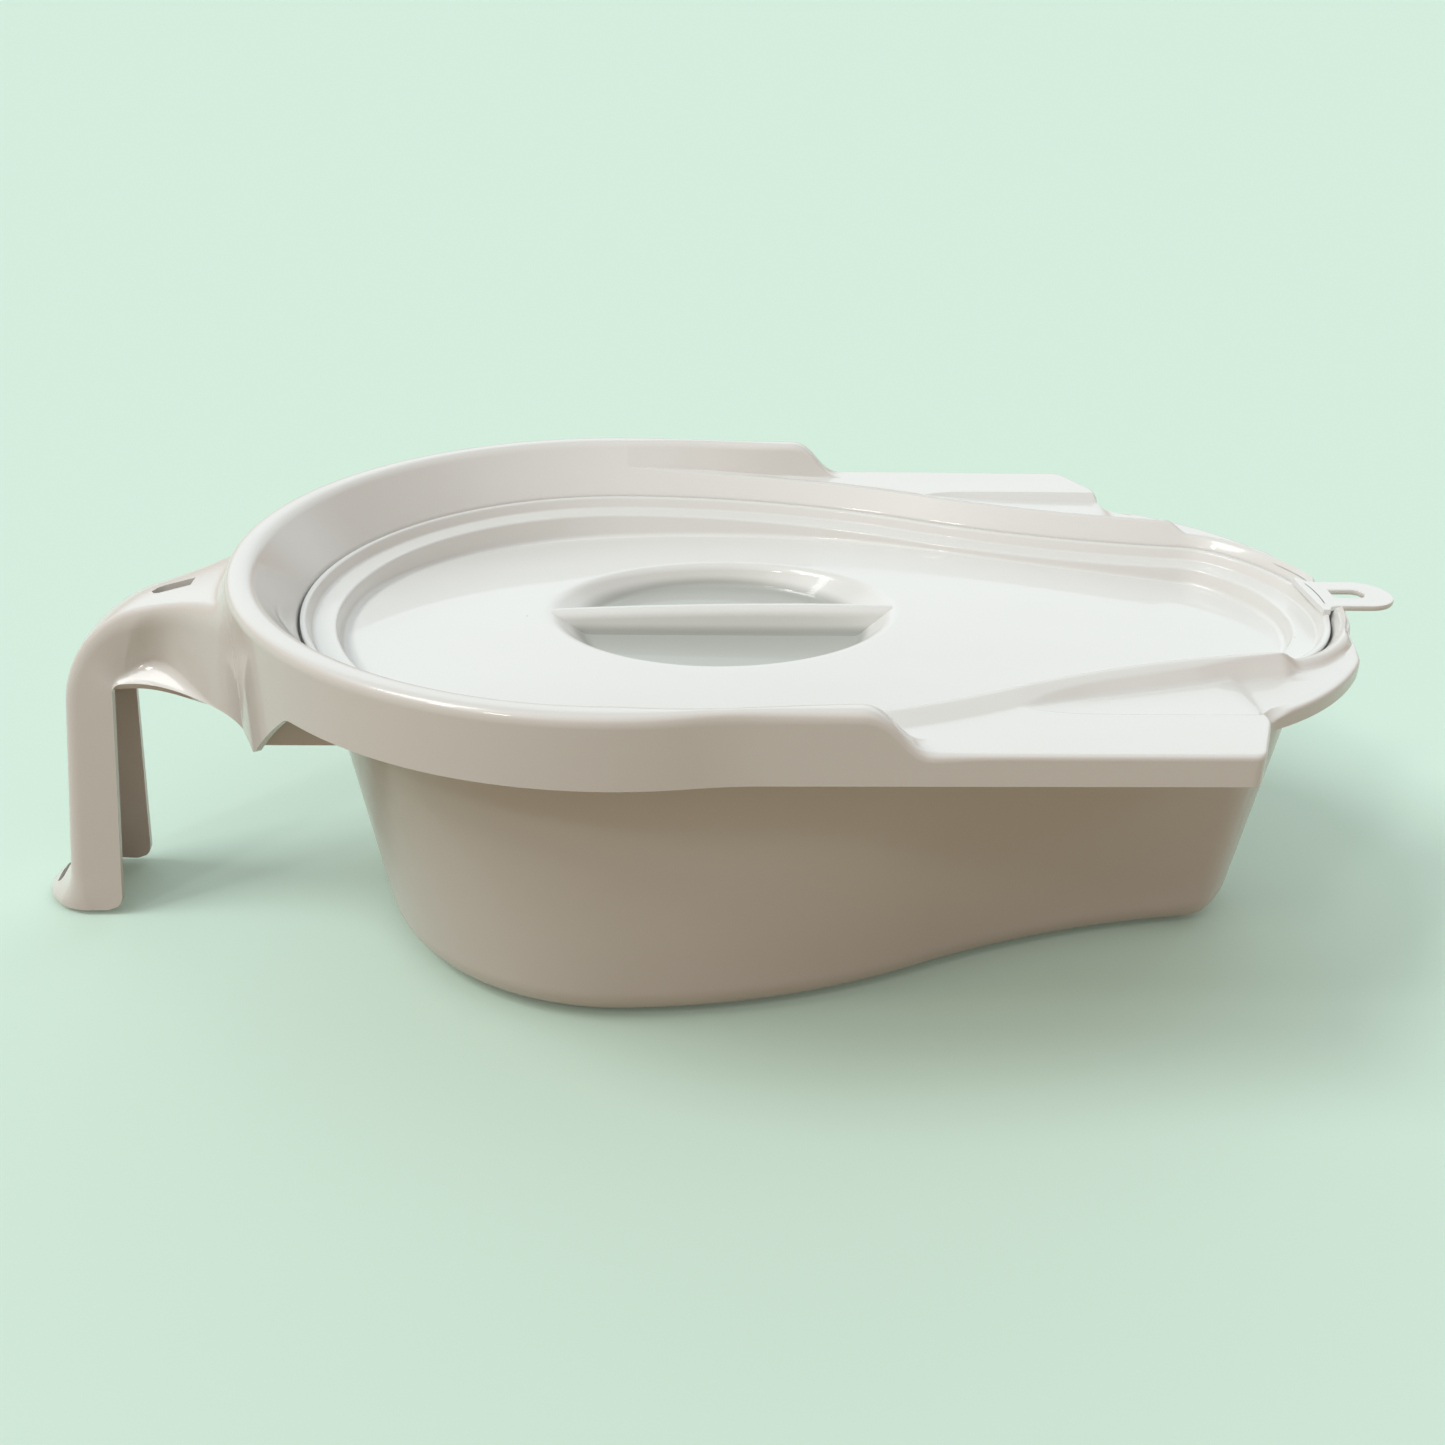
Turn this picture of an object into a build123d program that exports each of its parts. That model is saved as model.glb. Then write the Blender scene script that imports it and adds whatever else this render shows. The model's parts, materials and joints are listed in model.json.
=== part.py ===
"""Commode pan with a lift-off lid.

The pan is one polypropylene moulding: a keyhole-shaped bowl, a raised rim round its wide end, two flat
slide rails beside its narrow end, a pouring nose, and a channel-section handle that reaches down to the
floor as a leg.  The lid is a second moulding: a domed panel in a stepped border, with a finger recess
split by a fin, and a tab with a hanging slot.

X runs along the pan, from the handle (-X) to the nose (+X).  Z is up and the floor is at Z = 0.  Until the
last step the plan is drawn about the centre of the wide end, then everything moves along X so that the
origin is under the middle of the whole part.
"""
from build123d import *
from math import asin, cos, degrees, hypot, radians, sin, sqrt, tan
import os

# ---------------------------------------------------------------- driving dimensions, millimetres, degrees
wall = 2.5                  # thickness of the pan's moulding
lid_wall = 2.4              # thickness of the lid's moulding

# Plan outline of the lid's edge, which every other ring of the pan and lid follows at its own distance.
round_radius = 127.4        # wide end
flank_radius = 304.0        # long convex side beside the wide end
flank_turn = 25.7           # how far that side turns towards the middle
waist_radius = 371.0        # long hollow side beside the narrow end
waist_turn = 18.6           # how far it turns back
shoulder_radius = 29.7      # small corner before the nose
shoulder_end = 47.3         # direction in which the outline faces where the nose begins

# Heights
rail_height = 143.0         # flat tops of the slide rails above the floor
rim_rise = 15.4             # top of the raised rim above the rails
skirt_drop = 11.5           # lower edge of the skirt below the rails
ridge_rise = 2.75           # crest between rail and seat, above the rails
nose_drop = 2.0             # crest of the nose below the rails
flange_drop = 5.0           # top of the flange round the nose below the rails
lip_drop = 6.4              # lid's edge below the rails
ring_drop = 4.8             # lid's flat ring below its edge

# Rim and rails
rim_border = 26.5           # outside of the rim beyond the lid's edge at the wide end
rail_inset = 3.9            # outer faces of the rails inside the rim's radius
rim_blend = 150.0           # hollow that leads from the round rim into the straight rail
bead_round = 4.0            # rounding of the rim's outer edge
rail_wall_draft = 10.0      # lean of the inner face of the raised rim above the shelf
shelf_border = 11.5         # foot of that face inside the rail's outer face
shelf_start = 35.0          # where the shelf has its full width
shelf_nose = 5.5            # its narrow start, outside the seat
step_start = 80.0           # the rim's top begins to drop to the rail here
step_length = 24.0
rail_end = 225.0            # square ends of the rails
rail_end_inset = 29.0       # where its slanted corner meets that end, inside the rail's outer face
rail_corner_start = 213.0   # where the slanted corner leaves the side
rail_corner_round = 5.0
ramp_length = 90.0          # shelf rises towards the wide end over this length
ramp_rise = 5.0

# Seat for the lid, funnel above it, bowl below it
seat_gap = 1.3              # clearance round the lid's edge
ledge_width = 8.8
funnel_draft = 35.0         # lean of the wall above the lid
bowl_draft = 9.95           # lean of the bowl's wall
bowl_round = 17.0           # rounding between wall and floor, outside
bowl_shoulder = 15.0        # corner before the nose, at the foot of the bowl
ridge_width = 1.5           # flat crest of the ridge
ridge_slope = 9.4           # width of its outer slope down to the rail
ridge_strip = 4.4           # what is left of that slope beside the scoop
ridge_side = 6.4            # width of the steeper slope from there down to the flange

# Scoop on top of each rail, and flange round the nose
scoop_start = 139.0
scoop_middle = 160.0        # by here it has most of its width
scoop_tip_inset = 37.3      # its pointed start inside the rail's outer face
scoop_inset = 31.0          # its outer crease inside the rail's outer face
scoop_depth = 3.5
scoop_middle_depth = 2.2
scoop_edge = 3.5            # width of the slope along its outer crease
nose_bead = 6.8             # outside of the nose's bead beyond the lid's edge
nose_bead_round = 2.5
nose_start = 243.0          # where the ridge drops to the nose
nose_slope = 9.0
flange_radius = 123.0
flange_centre = 174.5
flange_front_radius = 244.0
flange_front = 289.0

# Handle
handle_half_width = 15.7    # at the lower edge of the arm
handle_draft = 4.0          # its sides spread downwards
handle_wall = 3.0
handle_depth = 40.0         # lower edge of the arm below the rails
arm_top_start = 4.0         # arm's top above the rails where it leaves the rim
arm_slope = 15.3            # its fall away from the rim
arm_length = 37.5           # sloping top of the arm, from the rim to the bend into the leg
arm_bend = 50.0             # outer radius of the bend
leg_splay = 6.5             # lean of the leg's outer face
leg_inner = 205.5           # inner edge of the leg at the arm's lower edge
leg_inner_splay = 4.8
flare_start = 212.0         # where the arm begins to widen
root_x = 137.0              # where its sides reach the rim
root_half_width = 69.0
root_end = 80.0             # the sides run on under the rim at least as far as this, into the bowl
arm_round = 6.0             # rounding along its upper edges
gusset_half_width = 100.0   # where the gusset beside each root ends, from the middle
slot_from, slot_to = 172.0, 189.0
slot_width = 8.0
foot_reach = 250.0          # tip of the foot
foot_radius = 23.0
foot_height = 12.0          # how far up the leg the foot's flare begins
foot_draft = 42.0           # lean of that flare
foot_slot_x = 243.5
foot_slot_width, foot_slot_length = 3.0, 14.6
leg_corner = 4.0            # rounding of the leg's lower inside corners

# Lid
lip_width = 2.0             # rounded edge round the lid
border_width = 4.0          # foot of the step inside that edge
ring_inset = 13.4           # inner edge of the flat ring
panel_inset = 17.6          # where the panel meets its surrounding wall
panel_depth = 20.0          # depth to which that wall is drawn below the ring
dome_drop = 9.3             # top of the panel below the rails
dome_x = 80.0               # top of the panel along the lid
dome_long_radius = 2000.0
dome_cross_radius = 590.0
recess_x = 40.6
recess_length, recess_width = 146.0, 110.0
recess_floor_length, recess_floor_width = 112.0, 98.0
recess_depth = 12.0         # floor of the finger recess below the panel's top
fin_thickness = 8.0
fin_round = 3.5
fin_end_depth = 1.2         # how far its ends and foot stand inside the recess's wall
tab_drop = 3.0              # top of the tab below the rails
tab_half_width = 13.5
tab_tip = 318.5
tab_slot_from, tab_slot_to = 293.0, 307.0
tab_slot_width = 8.5
tab_saddle_gap = 0.4        # clearance between the tab and the saddle that it lies in

past = 1.0                  # how far a cutting block passes a face

# ---------------------------------------------------------------- values that follow from them
rim_radius = round_radius + rim_border
rail_half_width = rim_radius - rail_inset
shelf_half_width = rail_half_width - shelf_border
rail_end_half = rail_half_width - rail_end_inset
scoop_tip = rail_half_width - scoop_tip_inset
scoop_half_width = rail_half_width - scoop_inset
rim_top = rail_height + rim_rise
skirt_bottom = rail_height - skirt_drop
lip_top = rail_height - lip_drop
ring_top = lip_top - ring_drop
ledge_top = ring_top - lid_wall
funnel_foot = lip_top - 0.25 * lid_wall
arm_bottom = rail_height - handle_depth
mouth_inset = ledge_width - seat_gap
funnel_spread = tan(radians(funnel_draft))
bowl_lean = tan(radians(bowl_draft))
dome_top = rail_height - dome_drop
flange_top = rail_height - flange_drop
crest_top = rail_height + ridge_rise
crest = seat_gap + (crest_top - funnel_foot) * funnel_spread + ridge_width
strip_top = crest_top - ridge_rise * ridge_strip / ridge_slope
middle_x = (tab_tip - foot_reach) / 2


def direction(angle):
    return Vector(cos(radians(angle)), sin(radians(angle)))


def keyhole_arcs(shoulder):
    """Centre, signed radius, first and last outward direction of each arc on the +Y side."""
    waist_start = 90 - flank_turn
    waist_end = waist_start + waist_turn
    radii = [round_radius, flank_radius, -waist_radius, shoulder]
    turns = [180, 90, waist_start, waist_end, shoulder_end]
    centre, arcs = Vector(0, 0), []
    for i, radius in enumerate(radii):
        if i:
            centre = centre + direction(turns[i]) * (radii[i - 1] - radius)
        arcs.append((centre, radius, turns[i], turns[i + 1]))
    nose_radius = shoulder + centre.Y / sin(radians(shoulder_end))
    nose_centre = centre + direction(shoulder_end) * (shoulder - nose_radius)
    arcs.append((nose_centre, nose_radius, shoulder_end, 0))
    return arcs


nose_tip = keyhole_arcs(shoulder_radius)[-1][0].X + keyhole_arcs(shoulder_radius)[-1][1]


def keyhole(grow, z, shoulder=shoulder_radius):
    """Face inside the lid's outline grown outwards by `grow`, at height z."""
    upper = []
    for centre, radius, start, end in keyhole_arcs(shoulder):
        reach = radius + grow
        upper.append([centre + direction(a) * reach for a in (start, (start + end) / 2, end)])
    edges = [ThreePointArc(*points) for points in upper]
    for first, between, last in reversed(upper):
        flipped = [Vector(p.X, -p.Y) for p in (last, between, first)]
        edges.append(ThreePointArc(*flipped))
    return Pos(0, 0, z) * make_face(edges)


def keyhole_block(grow, low, high, grow_high=None):
    """Solid between two heights, straight or leaning evenly from one outline to the other."""
    if grow_high is None or abs(grow_high - grow) < 1e-6:
        return extrude(keyhole(grow, low), amount=high - low, dir=(0, 0, 1))
    return loft([keyhole(grow, low), keyhole(grow_high, high)], ruled=True)


def block(x0, x1, y0, y1, z0, z1):
    return Pos((x0 + x1) / 2, (y0 + y1) / 2, (z0 + z1) / 2) * Box(x1 - x0, y1 - y0, z1 - z0)


def side_prism(points, half):
    """Prism across the part, from a closed outline of (x, z) points."""
    face = make_face(Polyline(*[Vector(x, 0, z) for x, z in points], close=True))
    return extrude(face, amount=half, both=True)


# ---------------------------------------------------------------- pan: rim, rails and nose
REACH = 400.0               # longer than the part, for cutting blocks


def rim_plan(inset):
    """Plan of the rim and rails: round wide end, straight rails, slanted corners, square ends."""
    slant = degrees(asin(rail_end_inset / hypot(rail_end_inset, rail_end - rail_corner_start)))
    circle = rim_radius - inset
    half = rail_half_width - inset
    blend = rim_blend + inset
    blend_x = sqrt((circle + blend) ** 2 - (half + blend) ** 2)
    touch = Vector(blend_x, half + blend) * (circle / (circle + blend))
    blend_middle = Vector(blend_x, half + blend) - direction(90 - rim_blend_turn() / 2) * blend
    corner = Vector(rail_corner_start - inset * tan(radians(slant / 2)), half)
    end = Vector(rail_end - inset, rail_end_half - inset * tan(radians((90 - slant) / 2)))
    across = Vector(rail_end - inset, -end.Y)
    outline = [
        ThreePointArc((touch.X, -touch.Y), (-circle, 0), (touch.X, touch.Y)),
        ThreePointArc(touch, blend_middle, (blend_x, half)),
        Line((blend_x, half), corner), Line(corner, end), Line(end, across),
        Line(across, (corner.X, -half)), Line((corner.X, -half), (blend_x, -half)),
        ThreePointArc((blend_x, -half), (blend_middle.X, -blend_middle.Y), (touch.X, -touch.Y)),
    ]
    return make_face(outline)


def rim_blend_turn():
    """Turn, in degrees, of the hollow between the round rim and the straight rail."""
    reach = rim_radius + rim_blend
    rise = rail_half_width + rim_blend
    return 90 - degrees(asin(rise / reach))


def step_cut(inset):
    """Everything above the rim's top line, which steps down to the rails in an S."""
    high, low = rim_top - inset, rail_height - inset
    start, end = step_start - inset, step_start + step_length - inset
    middle = Vector((start + end) / 2, 0, (high + low) / 2)
    profile = [
        Line((-REACH, 0, high), (start, 0, high)),
        TangentArc((start, 0, high), middle, tangent=(1, 0, 0)),
        TangentArc((end, 0, low), middle, tangent=(-1, 0, 0)),
        Line((end, 0, low), (REACH, 0, low)),
        Line((REACH, 0, low), (REACH, 0, REACH)),
        Line((REACH, 0, REACH), (-REACH, 0, REACH)),
        Line((-REACH, 0, REACH), (-REACH, 0, high)),
    ]
    return extrude(make_face(profile), amount=REACH, both=True)


def shelf_cut(grow):
    """Space over the shelf, between the two raised sides of the rim."""
    foot = shelf_half_width + grow
    nose = round_radius + seat_gap + shelf_nose + grow
    low = rail_height - grow
    plan = make_face(Polyline((0, -nose), (shelf_start, -foot), (REACH, -foot), (REACH, foot),
                              (shelf_start, foot), (0, nose), close=True))
    space = extrude(Pos(0, 0, low) * plan, amount=rim_top + past - low, taper=-rail_wall_draft)
    ramp = side_prism([(-REACH, -REACH), (REACH, -REACH), (REACH, low), (ramp_length, low),
                       (0, low + ramp_rise), (-REACH, low + ramp_rise)], REACH)
    return space - ramp


def scoop_section(x, outer, depth, edge, grow):
    """Section across the scoop at x, from the middle of the part to its outer crease."""
    low, top = rail_height - depth - grow, rim_top + past
    reach = outer + grow
    return make_face(Polyline((x, 0, top), (x, 0, low), (x, reach - edge, low),
                              (x, reach, rail_height - grow), (x, reach, top), close=True))


def scoop_cut(grow):
    """Hollow on top of each rail that widens and deepens from a point towards the nose."""
    tip_y, top = scoop_tip + grow, rim_top + past
    level = rail_height - grow
    start = make_face(Polyline((scoop_start, tip_y - 2 * past, top), (scoop_start, tip_y - 2 * past, level),
                               (scoop_start, tip_y - past, level), (scoop_start, tip_y, level),
                               (scoop_start, tip_y, top), close=True))
    middle_edge = scoop_edge * scoop_middle_depth / scoop_depth
    middle = scoop_section(scoop_middle, scoop_half_width, scoop_middle_depth, middle_edge, grow)
    end = scoop_section(rail_end + past, scoop_half_width, scoop_depth, scoop_edge, grow)
    cut = loft([start, middle], ruled=True) + loft([middle, end], ruled=True)
    return cut + mirror(cut, Plane.XZ)


def nose_plan(inset):
    """Plan of the flange round the nose."""
    side = Pos(flange_centre, 0) * Circle(flange_radius - inset)
    front = Pos(flange_front - flange_front_radius, 0) * Circle(flange_front_radius - inset)
    plan = side & front & Pos(rail_end - 40 + REACH / 2, 0) * Rectangle(REACH, REACH)
    return plan


def rim_form(inset, low):
    """Rim, rails and flange as a filled block; an inset one is the space under the skin."""
    tall = extrude(Pos(0, 0, low) * rim_plan(inset), amount=rim_top + past - low)
    corners = tall.edges().filter_by(Axis.Z).filter_by(lambda edge: edge.center().X > rail_corner_start - past)
    tall = fillet(corners, rail_corner_round) - step_cut(inset)
    if inset == 0:
        tall = fillet(outer_top_edges(tall), bead_round)
    form = tall - shelf_cut(inset)
    form += extrude(Pos(0, 0, low) * nose_plan(inset), amount=flange_top - inset - low)
    return form


def outer_top_edges(form):
    """Edges between the top of the rim and rails and their outer faces."""
    chosen = []
    for edge in form.edges():
        at, way = edge.center(), edge.tangent_at(0.5)
        across = abs(way.Y) > 0.99 and 0 < at.X < rail_end - past
        if at.Z > skirt_bottom + past and not across and abs(way.Z) < 0.99:
            chosen.append(edge)
    return chosen


def ridge_length(low):
    """Space along the ridge, which ends with a slope down to the nose's bead."""
    end = nose_start + nose_slope
    return side_prism([(0, low), (end, low), (end, rail_height - nose_drop), (nose_start, crest_top + past),
                       (0, crest_top + past)], REACH)


def ridge():
    """Crest between the rails and the seat, with its wide outer slope down to the rails."""
    return keyhole_block(crest + ridge_slope, rail_height, crest_top, crest) & ridge_length(rail_height)


def ridge_core():
    """What stands of the ridge beside the scoop and on the flange: a strip of that slope, then a steeper side."""
    low = flange_top - past
    strip = keyhole_block(crest + ridge_strip, low, crest_top) & (ridge() + keyhole_block(crest, low, crest_top))
    side = keyhole_block(crest + ridge_strip + ridge_side, low, strip_top, crest + ridge_strip)
    return (strip + side) & ridge_length(low)


def nose_beading():
    """Rounded bead round the nose, between the seat and the flange."""
    top = rail_height - nose_drop
    bead = keyhole_block(nose_bead, skirt_bottom, top)
    bead = fillet(bead.edges().group_by(Axis.Z)[-1], nose_bead_round)
    return bead & block(nose_start, REACH, -REACH, REACH, skirt_bottom, top)


# ---------------------------------------------------------------- pan: seat, funnel and bowl
def funnel(grow):
    """Space over the lid's seat, or that space with the funnel's wall round it."""
    high = rim_top + past
    spread = seat_gap + (high - funnel_foot) * funnel_spread
    bottom = ledge_top if grow == 0 else ledge_top - wall
    seat = keyhole_block(seat_gap + grow, bottom, funnel_foot)
    return seat + keyhole_block(seat_gap + grow, funnel_foot, high, spread + grow)


def bowl(inset):
    """Bowl down to the floor, as a block; an inset one is its inside."""
    outer_mouth = mouth_inset - wall / cos(radians(bowl_draft))
    mouth = mouth_inset if inset else outer_mouth
    foot = mouth + (ledge_top - inset) * bowl_lean
    shoulder = bowl_shoulder + outer_mouth + ledge_top * bowl_lean
    body = loft([keyhole(-foot, inset, shoulder), keyhole(-mouth, ledge_top)], ruled=True)
    return fillet(body.edges().group_by(Axis.Z)[0], bowl_round - inset)


# ---------------------------------------------------------------- pan: handle
def handle_side(inset):
    """Side view of the arm and leg."""
    fall = Vector(-cos(radians(arm_slope)), 0, -sin(radians(arm_slope)))
    arm_out = Vector(-sin(radians(arm_slope)), 0, cos(radians(arm_slope)))
    leg_out = Vector(-cos(radians(leg_splay)), 0, sin(radians(leg_splay)))
    leg_down = Vector(-sin(radians(leg_splay)), 0, -cos(radians(leg_splay)))
    between = (arm_out + leg_out).normalized()
    root = Vector(-rim_radius, 0, rail_height + arm_top_start)
    bend_centre = root + fall * arm_length - arm_out * arm_bend
    radius = arm_bend - inset
    low = -inset
    turn = [bend_centre + way * radius for way in (arm_out, between, leg_out)]
    outer_foot = turn[2] + leg_down * ((turn[2].Z - low) / -leg_down.Z)
    start = turn[0] - fall * ((root_end + turn[0].X) / fall.X)
    arm_low = arm_bottom - inset
    inner = Vector(inset - leg_inner, 0, arm_low)
    inner_foot = Vector(inner.X - (arm_low - low) * tan(radians(leg_inner_splay)), 0, low)
    corners = [turn[2], outer_foot, inner_foot, inner, Vector(-root_end, 0, arm_low), start, turn[0]]
    edges = [Line(a, b) for a, b in zip(corners, corners[1:])]
    return make_face(edges + [ThreePointArc(*turn)])


def handle_plan(inset, z):
    """Level section of the arm and leg: narrow outside, widening to the root at the rim."""
    half = handle_half_width - inset + (arm_bottom - z) * tan(radians(handle_draft))
    root = Vector(-root_x, root_half_width - inset)
    start = Vector(-flare_start, half)
    upper = TangentArc(start, root, tangent=(1, 0))
    corners = [root, Vector(-root_end, root.Y), Vector(-root_end, -root.Y), Vector(root.X, -root.Y)]
    tip = [Vector(start.X, -half), Vector(-REACH, -half), Vector(-REACH, half), start]
    edges = [Line(a, b) for chain in (corners, tip) for a, b in zip(chain, chain[1:])]
    return Pos(0, 0, z) * make_face(edges + [upper, mirror(upper, Plane.XZ)])


def handle_form(inset):
    """Arm and leg as a block; an inset one is the channel inside."""
    side = extrude(handle_side(inset), amount=REACH, both=True)
    plan = loft([handle_plan(inset, -handle_wall), handle_plan(inset, rim_top + past)], ruled=True)
    return side & plan


def handle_shell():
    """Arm and leg as an open channel, with rounded upper edges and a flared foot."""
    outside, inside = handle_form(0), handle_form(handle_wall)
    outside = fillet(handle_edges(outside), arm_round)
    corner = [edge for edge in outside.edges().group_by(Axis.Z)[0].filter_by(Axis.Y)
              if edge.center().X > -foot_reach + foot_radius]
    outside = fillet(corner, leg_corner) + foot_flare(0)
    inside += foot_flare(handle_wall)
    inside += block(-foot_slot_x - foot_slot_width / 2, -foot_slot_x + foot_slot_width / 2,
                    -foot_slot_length / 2, foot_slot_length / 2, 0, foot_height)
    slot = make_face(Polyline((-slot_from, -slot_width / 2), (-slot_from, slot_width / 2),
                              (slot_width / 2 - slot_to, slot_width / 2), (-slot_to, 0),
                              (slot_width / 2 - slot_to, -slot_width / 2), close=True))
    return outside - inside - extrude(Pos(0, 0, arm_bottom) * slot, amount=REACH)


def foot_flare(inset):
    """Round flare at the bottom of the leg; an inset one is its inside."""
    middle = foot_radius - foot_reach
    disc = Pos(middle, 0) * Circle(foot_radius - inset)
    cone = extrude(disc, amount=foot_height - inset, taper=foot_draft)
    return cone & block(-foot_reach, middle, -foot_radius, foot_radius, 0, foot_height)


def handle_edges(form):
    """Long edges between the upper or outer face of the handle and its sides."""
    chosen = []
    for edge in form.edges():
        at = edge.center()
        beside = abs(at.Y) > 1 and at.X < -root_x - 1 and at.Z > 1
        if beside and (at.Z > arm_bottom + 1 or at.X < -leg_inner - arm_round):
            chosen.append(edge)
    return chosen


def gussets():
    """Skirt drawn down to a point at each root of the handle."""
    ring = Circle(rim_radius) - Circle(rim_radius - wall)
    ring = extrude(Pos(0, 0, arm_bottom) * ring, amount=skirt_bottom - arm_bottom)
    inner = root_half_width - handle_wall
    side = make_face(Polyline((-REACH, inner, arm_bottom), (-REACH, root_half_width, arm_bottom),
                              (-REACH, gusset_half_width, skirt_bottom), (-REACH, inner, skirt_bottom), close=True))
    one = ring & extrude(side, amount=REACH, dir=(1, 0, 0))
    return one + mirror(one, Plane.XZ)


# ---------------------------------------------------------------- pan: all of it
def pan_body():
    cavity = funnel(0) + bowl(wall)
    rails = extrude(Pos(0, 0, skirt_bottom) * rim_plan(0), amount=REACH)
    top = rim_form(0, skirt_bottom) + (ridge() & rails)
    top = top - scoop_cut(0) + ridge_core() + nose_beading()
    space = rim_form(wall, skirt_bottom - past) - scoop_cut(wall) - funnel(wall)
    body = top - space + bowl(0)
    body += keyhole_block(seat_gap + wall, ledge_top - wall, funnel_foot)
    under_rim = extrude(Pos(0, 0, -wall) * Circle(rim_radius - wall / 2), amount=REACH)
    sides = (handle_form(0) - handle_form(handle_wall)) & under_rim
    sides &= block(-REACH, 0, -REACH, REACH, arm_bottom, ledge_top)
    body += handle_shell() - under_rim
    body += sides
    body += gussets()
    return body - cavity - tab_space()


def tab_space():
    """Saddle across the nose's bead, in which the lid's tab lies."""
    half = tab_half_width + tab_saddle_gap
    low = rail_height - tab_drop - lid_wall - tab_saddle_gap
    return block(nose_tip, REACH, -half, half, low, REACH)


# ---------------------------------------------------------------- lid
def dome(lift):
    """Everything under the panel's top, which curves gently both ways; `lift` raises that top."""
    top = dome_top + lift
    cross = Vector(dome_x, 0, top - dome_cross_radius)
    arc = ThreePointArc((dome_x, -REACH, cross.Z + sqrt(dome_cross_radius ** 2 - REACH ** 2)),
                        (dome_x, 0, top),
                        (dome_x, REACH, cross.Z + sqrt(dome_cross_radius ** 2 - REACH ** 2)))
    low = Vector(dome_x, -REACH, -REACH), Vector(dome_x, REACH, -REACH)
    section = make_face([arc, Line(arc @ 0, low[0]), Line(*low), Line(low[1], arc @ 1)])
    axis = Axis((dome_x, 0, top - dome_long_radius), (0, 1, 0))
    half_turn = degrees(asin(REACH / dome_long_radius))
    return revolve(section.rotate(axis, -half_turn), axis=axis, revolution_arc=2 * half_turn)


def recess(grow):
    """Finger recess: an oval hollow that narrows to its floor."""
    floor = dome_top - recess_depth - grow
    rim = Pos(recess_x, 0, dome_top + 1) * Ellipse(recess_length / 2 + grow, recess_width / 2 + grow)
    base = Pos(recess_x, 0, floor) * Ellipse(recess_floor_length / 2 + grow, recess_floor_width / 2 + grow)
    return loft([base, rim], ruled=True)


def lid_body():
    lip = keyhole_block(0, lip_top - lid_wall, lip_top)
    step = keyhole_block(-border_width + lid_wall, ring_top - lid_wall, lip_top - lid_wall)
    plug = keyhole_block(-ring_inset + lid_wall, ring_top - panel_depth, ring_top)
    under = dome(-lid_wall)
    outer = lip + step + (plug - under)
    inside = keyhole_block(-border_width, ring_top, lip_top + 1, -lip_width)
    pit = keyhole_block(-panel_inset, ring_top - panel_depth - 1, ring_top + 1, -ring_inset) - dome(0)
    shell = outer - inside - pit
    hollow = recess(0)
    shell = shell + (recess(lid_wall) & dome(0)) - hollow
    return shell + fin() + tab()


def fin():
    """Bar across the recess, level with the panel, with a round top."""
    bar = block(recess_x - recess_length, recess_x + recess_length, -fin_thickness / 2, fin_thickness / 2,
                dome_top - recess_depth - lid_wall, dome_top + past)
    bar = bar & dome(0)
    upper = bar.edges().filter_by(lambda edge: edge.center().Z > dome_top - recess_depth)
    long = upper.filter_by(lambda edge: edge.length > recess_length)
    return fillet(long, fin_round) & recess(fin_end_depth)


def tab():
    low = rail_height - tab_drop - lid_wall
    neck = nose_tip - lip_width
    round_x = tab_tip - tab_half_width
    plan = Pos((neck + round_x) / 2, 0) * Rectangle(round_x - neck, 2 * tab_half_width)
    plan += Pos(round_x, 0) * Circle(tab_half_width)
    plan -= Pos((tab_slot_from + tab_slot_to) / 2, 0) * Rectangle(tab_slot_to - tab_slot_from, tab_slot_width)
    plate = extrude(Pos(0, 0, low) * plan, amount=lid_wall)
    riser = block(neck - lid_wall / 2, neck + lid_wall / 2, -tab_half_width, tab_half_width,
                  lip_top - lid_wall, low + lid_wall)
    return plate + riser


os.makedirs("parts", exist_ok=True)
pan = Pos(-middle_x, 0, 0) * pan_body()
lid = Pos(-middle_x, 0, 0) * lid_body()
pan.label = "pan"
lid.label = "lid"
export_step(pan, "parts/pan.step")
export_step(lid, "parts/lid.step")
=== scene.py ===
# %% [markdown]
# # A commode pan and its lid, in Blender
# The real object is two mouldings in pale, half-glossy polypropylene. The pan is a keyhole-shaped bowl with a
# raised rim, two slide rails, a pouring nose and a channel-section leg. The lid is a thin domed panel.
# This lesson models each moulding as one thin sheet that follows the keyhole, because that is how the mould
# works: a wall of even thickness, drawn round a core.

# %% Load the frame
import bmesh
import bpy
import json
from math import atan2, cos, degrees, exp, hypot, pi, radians, sin, sqrt, tan
from mathutils import Matrix, Vector

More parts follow.
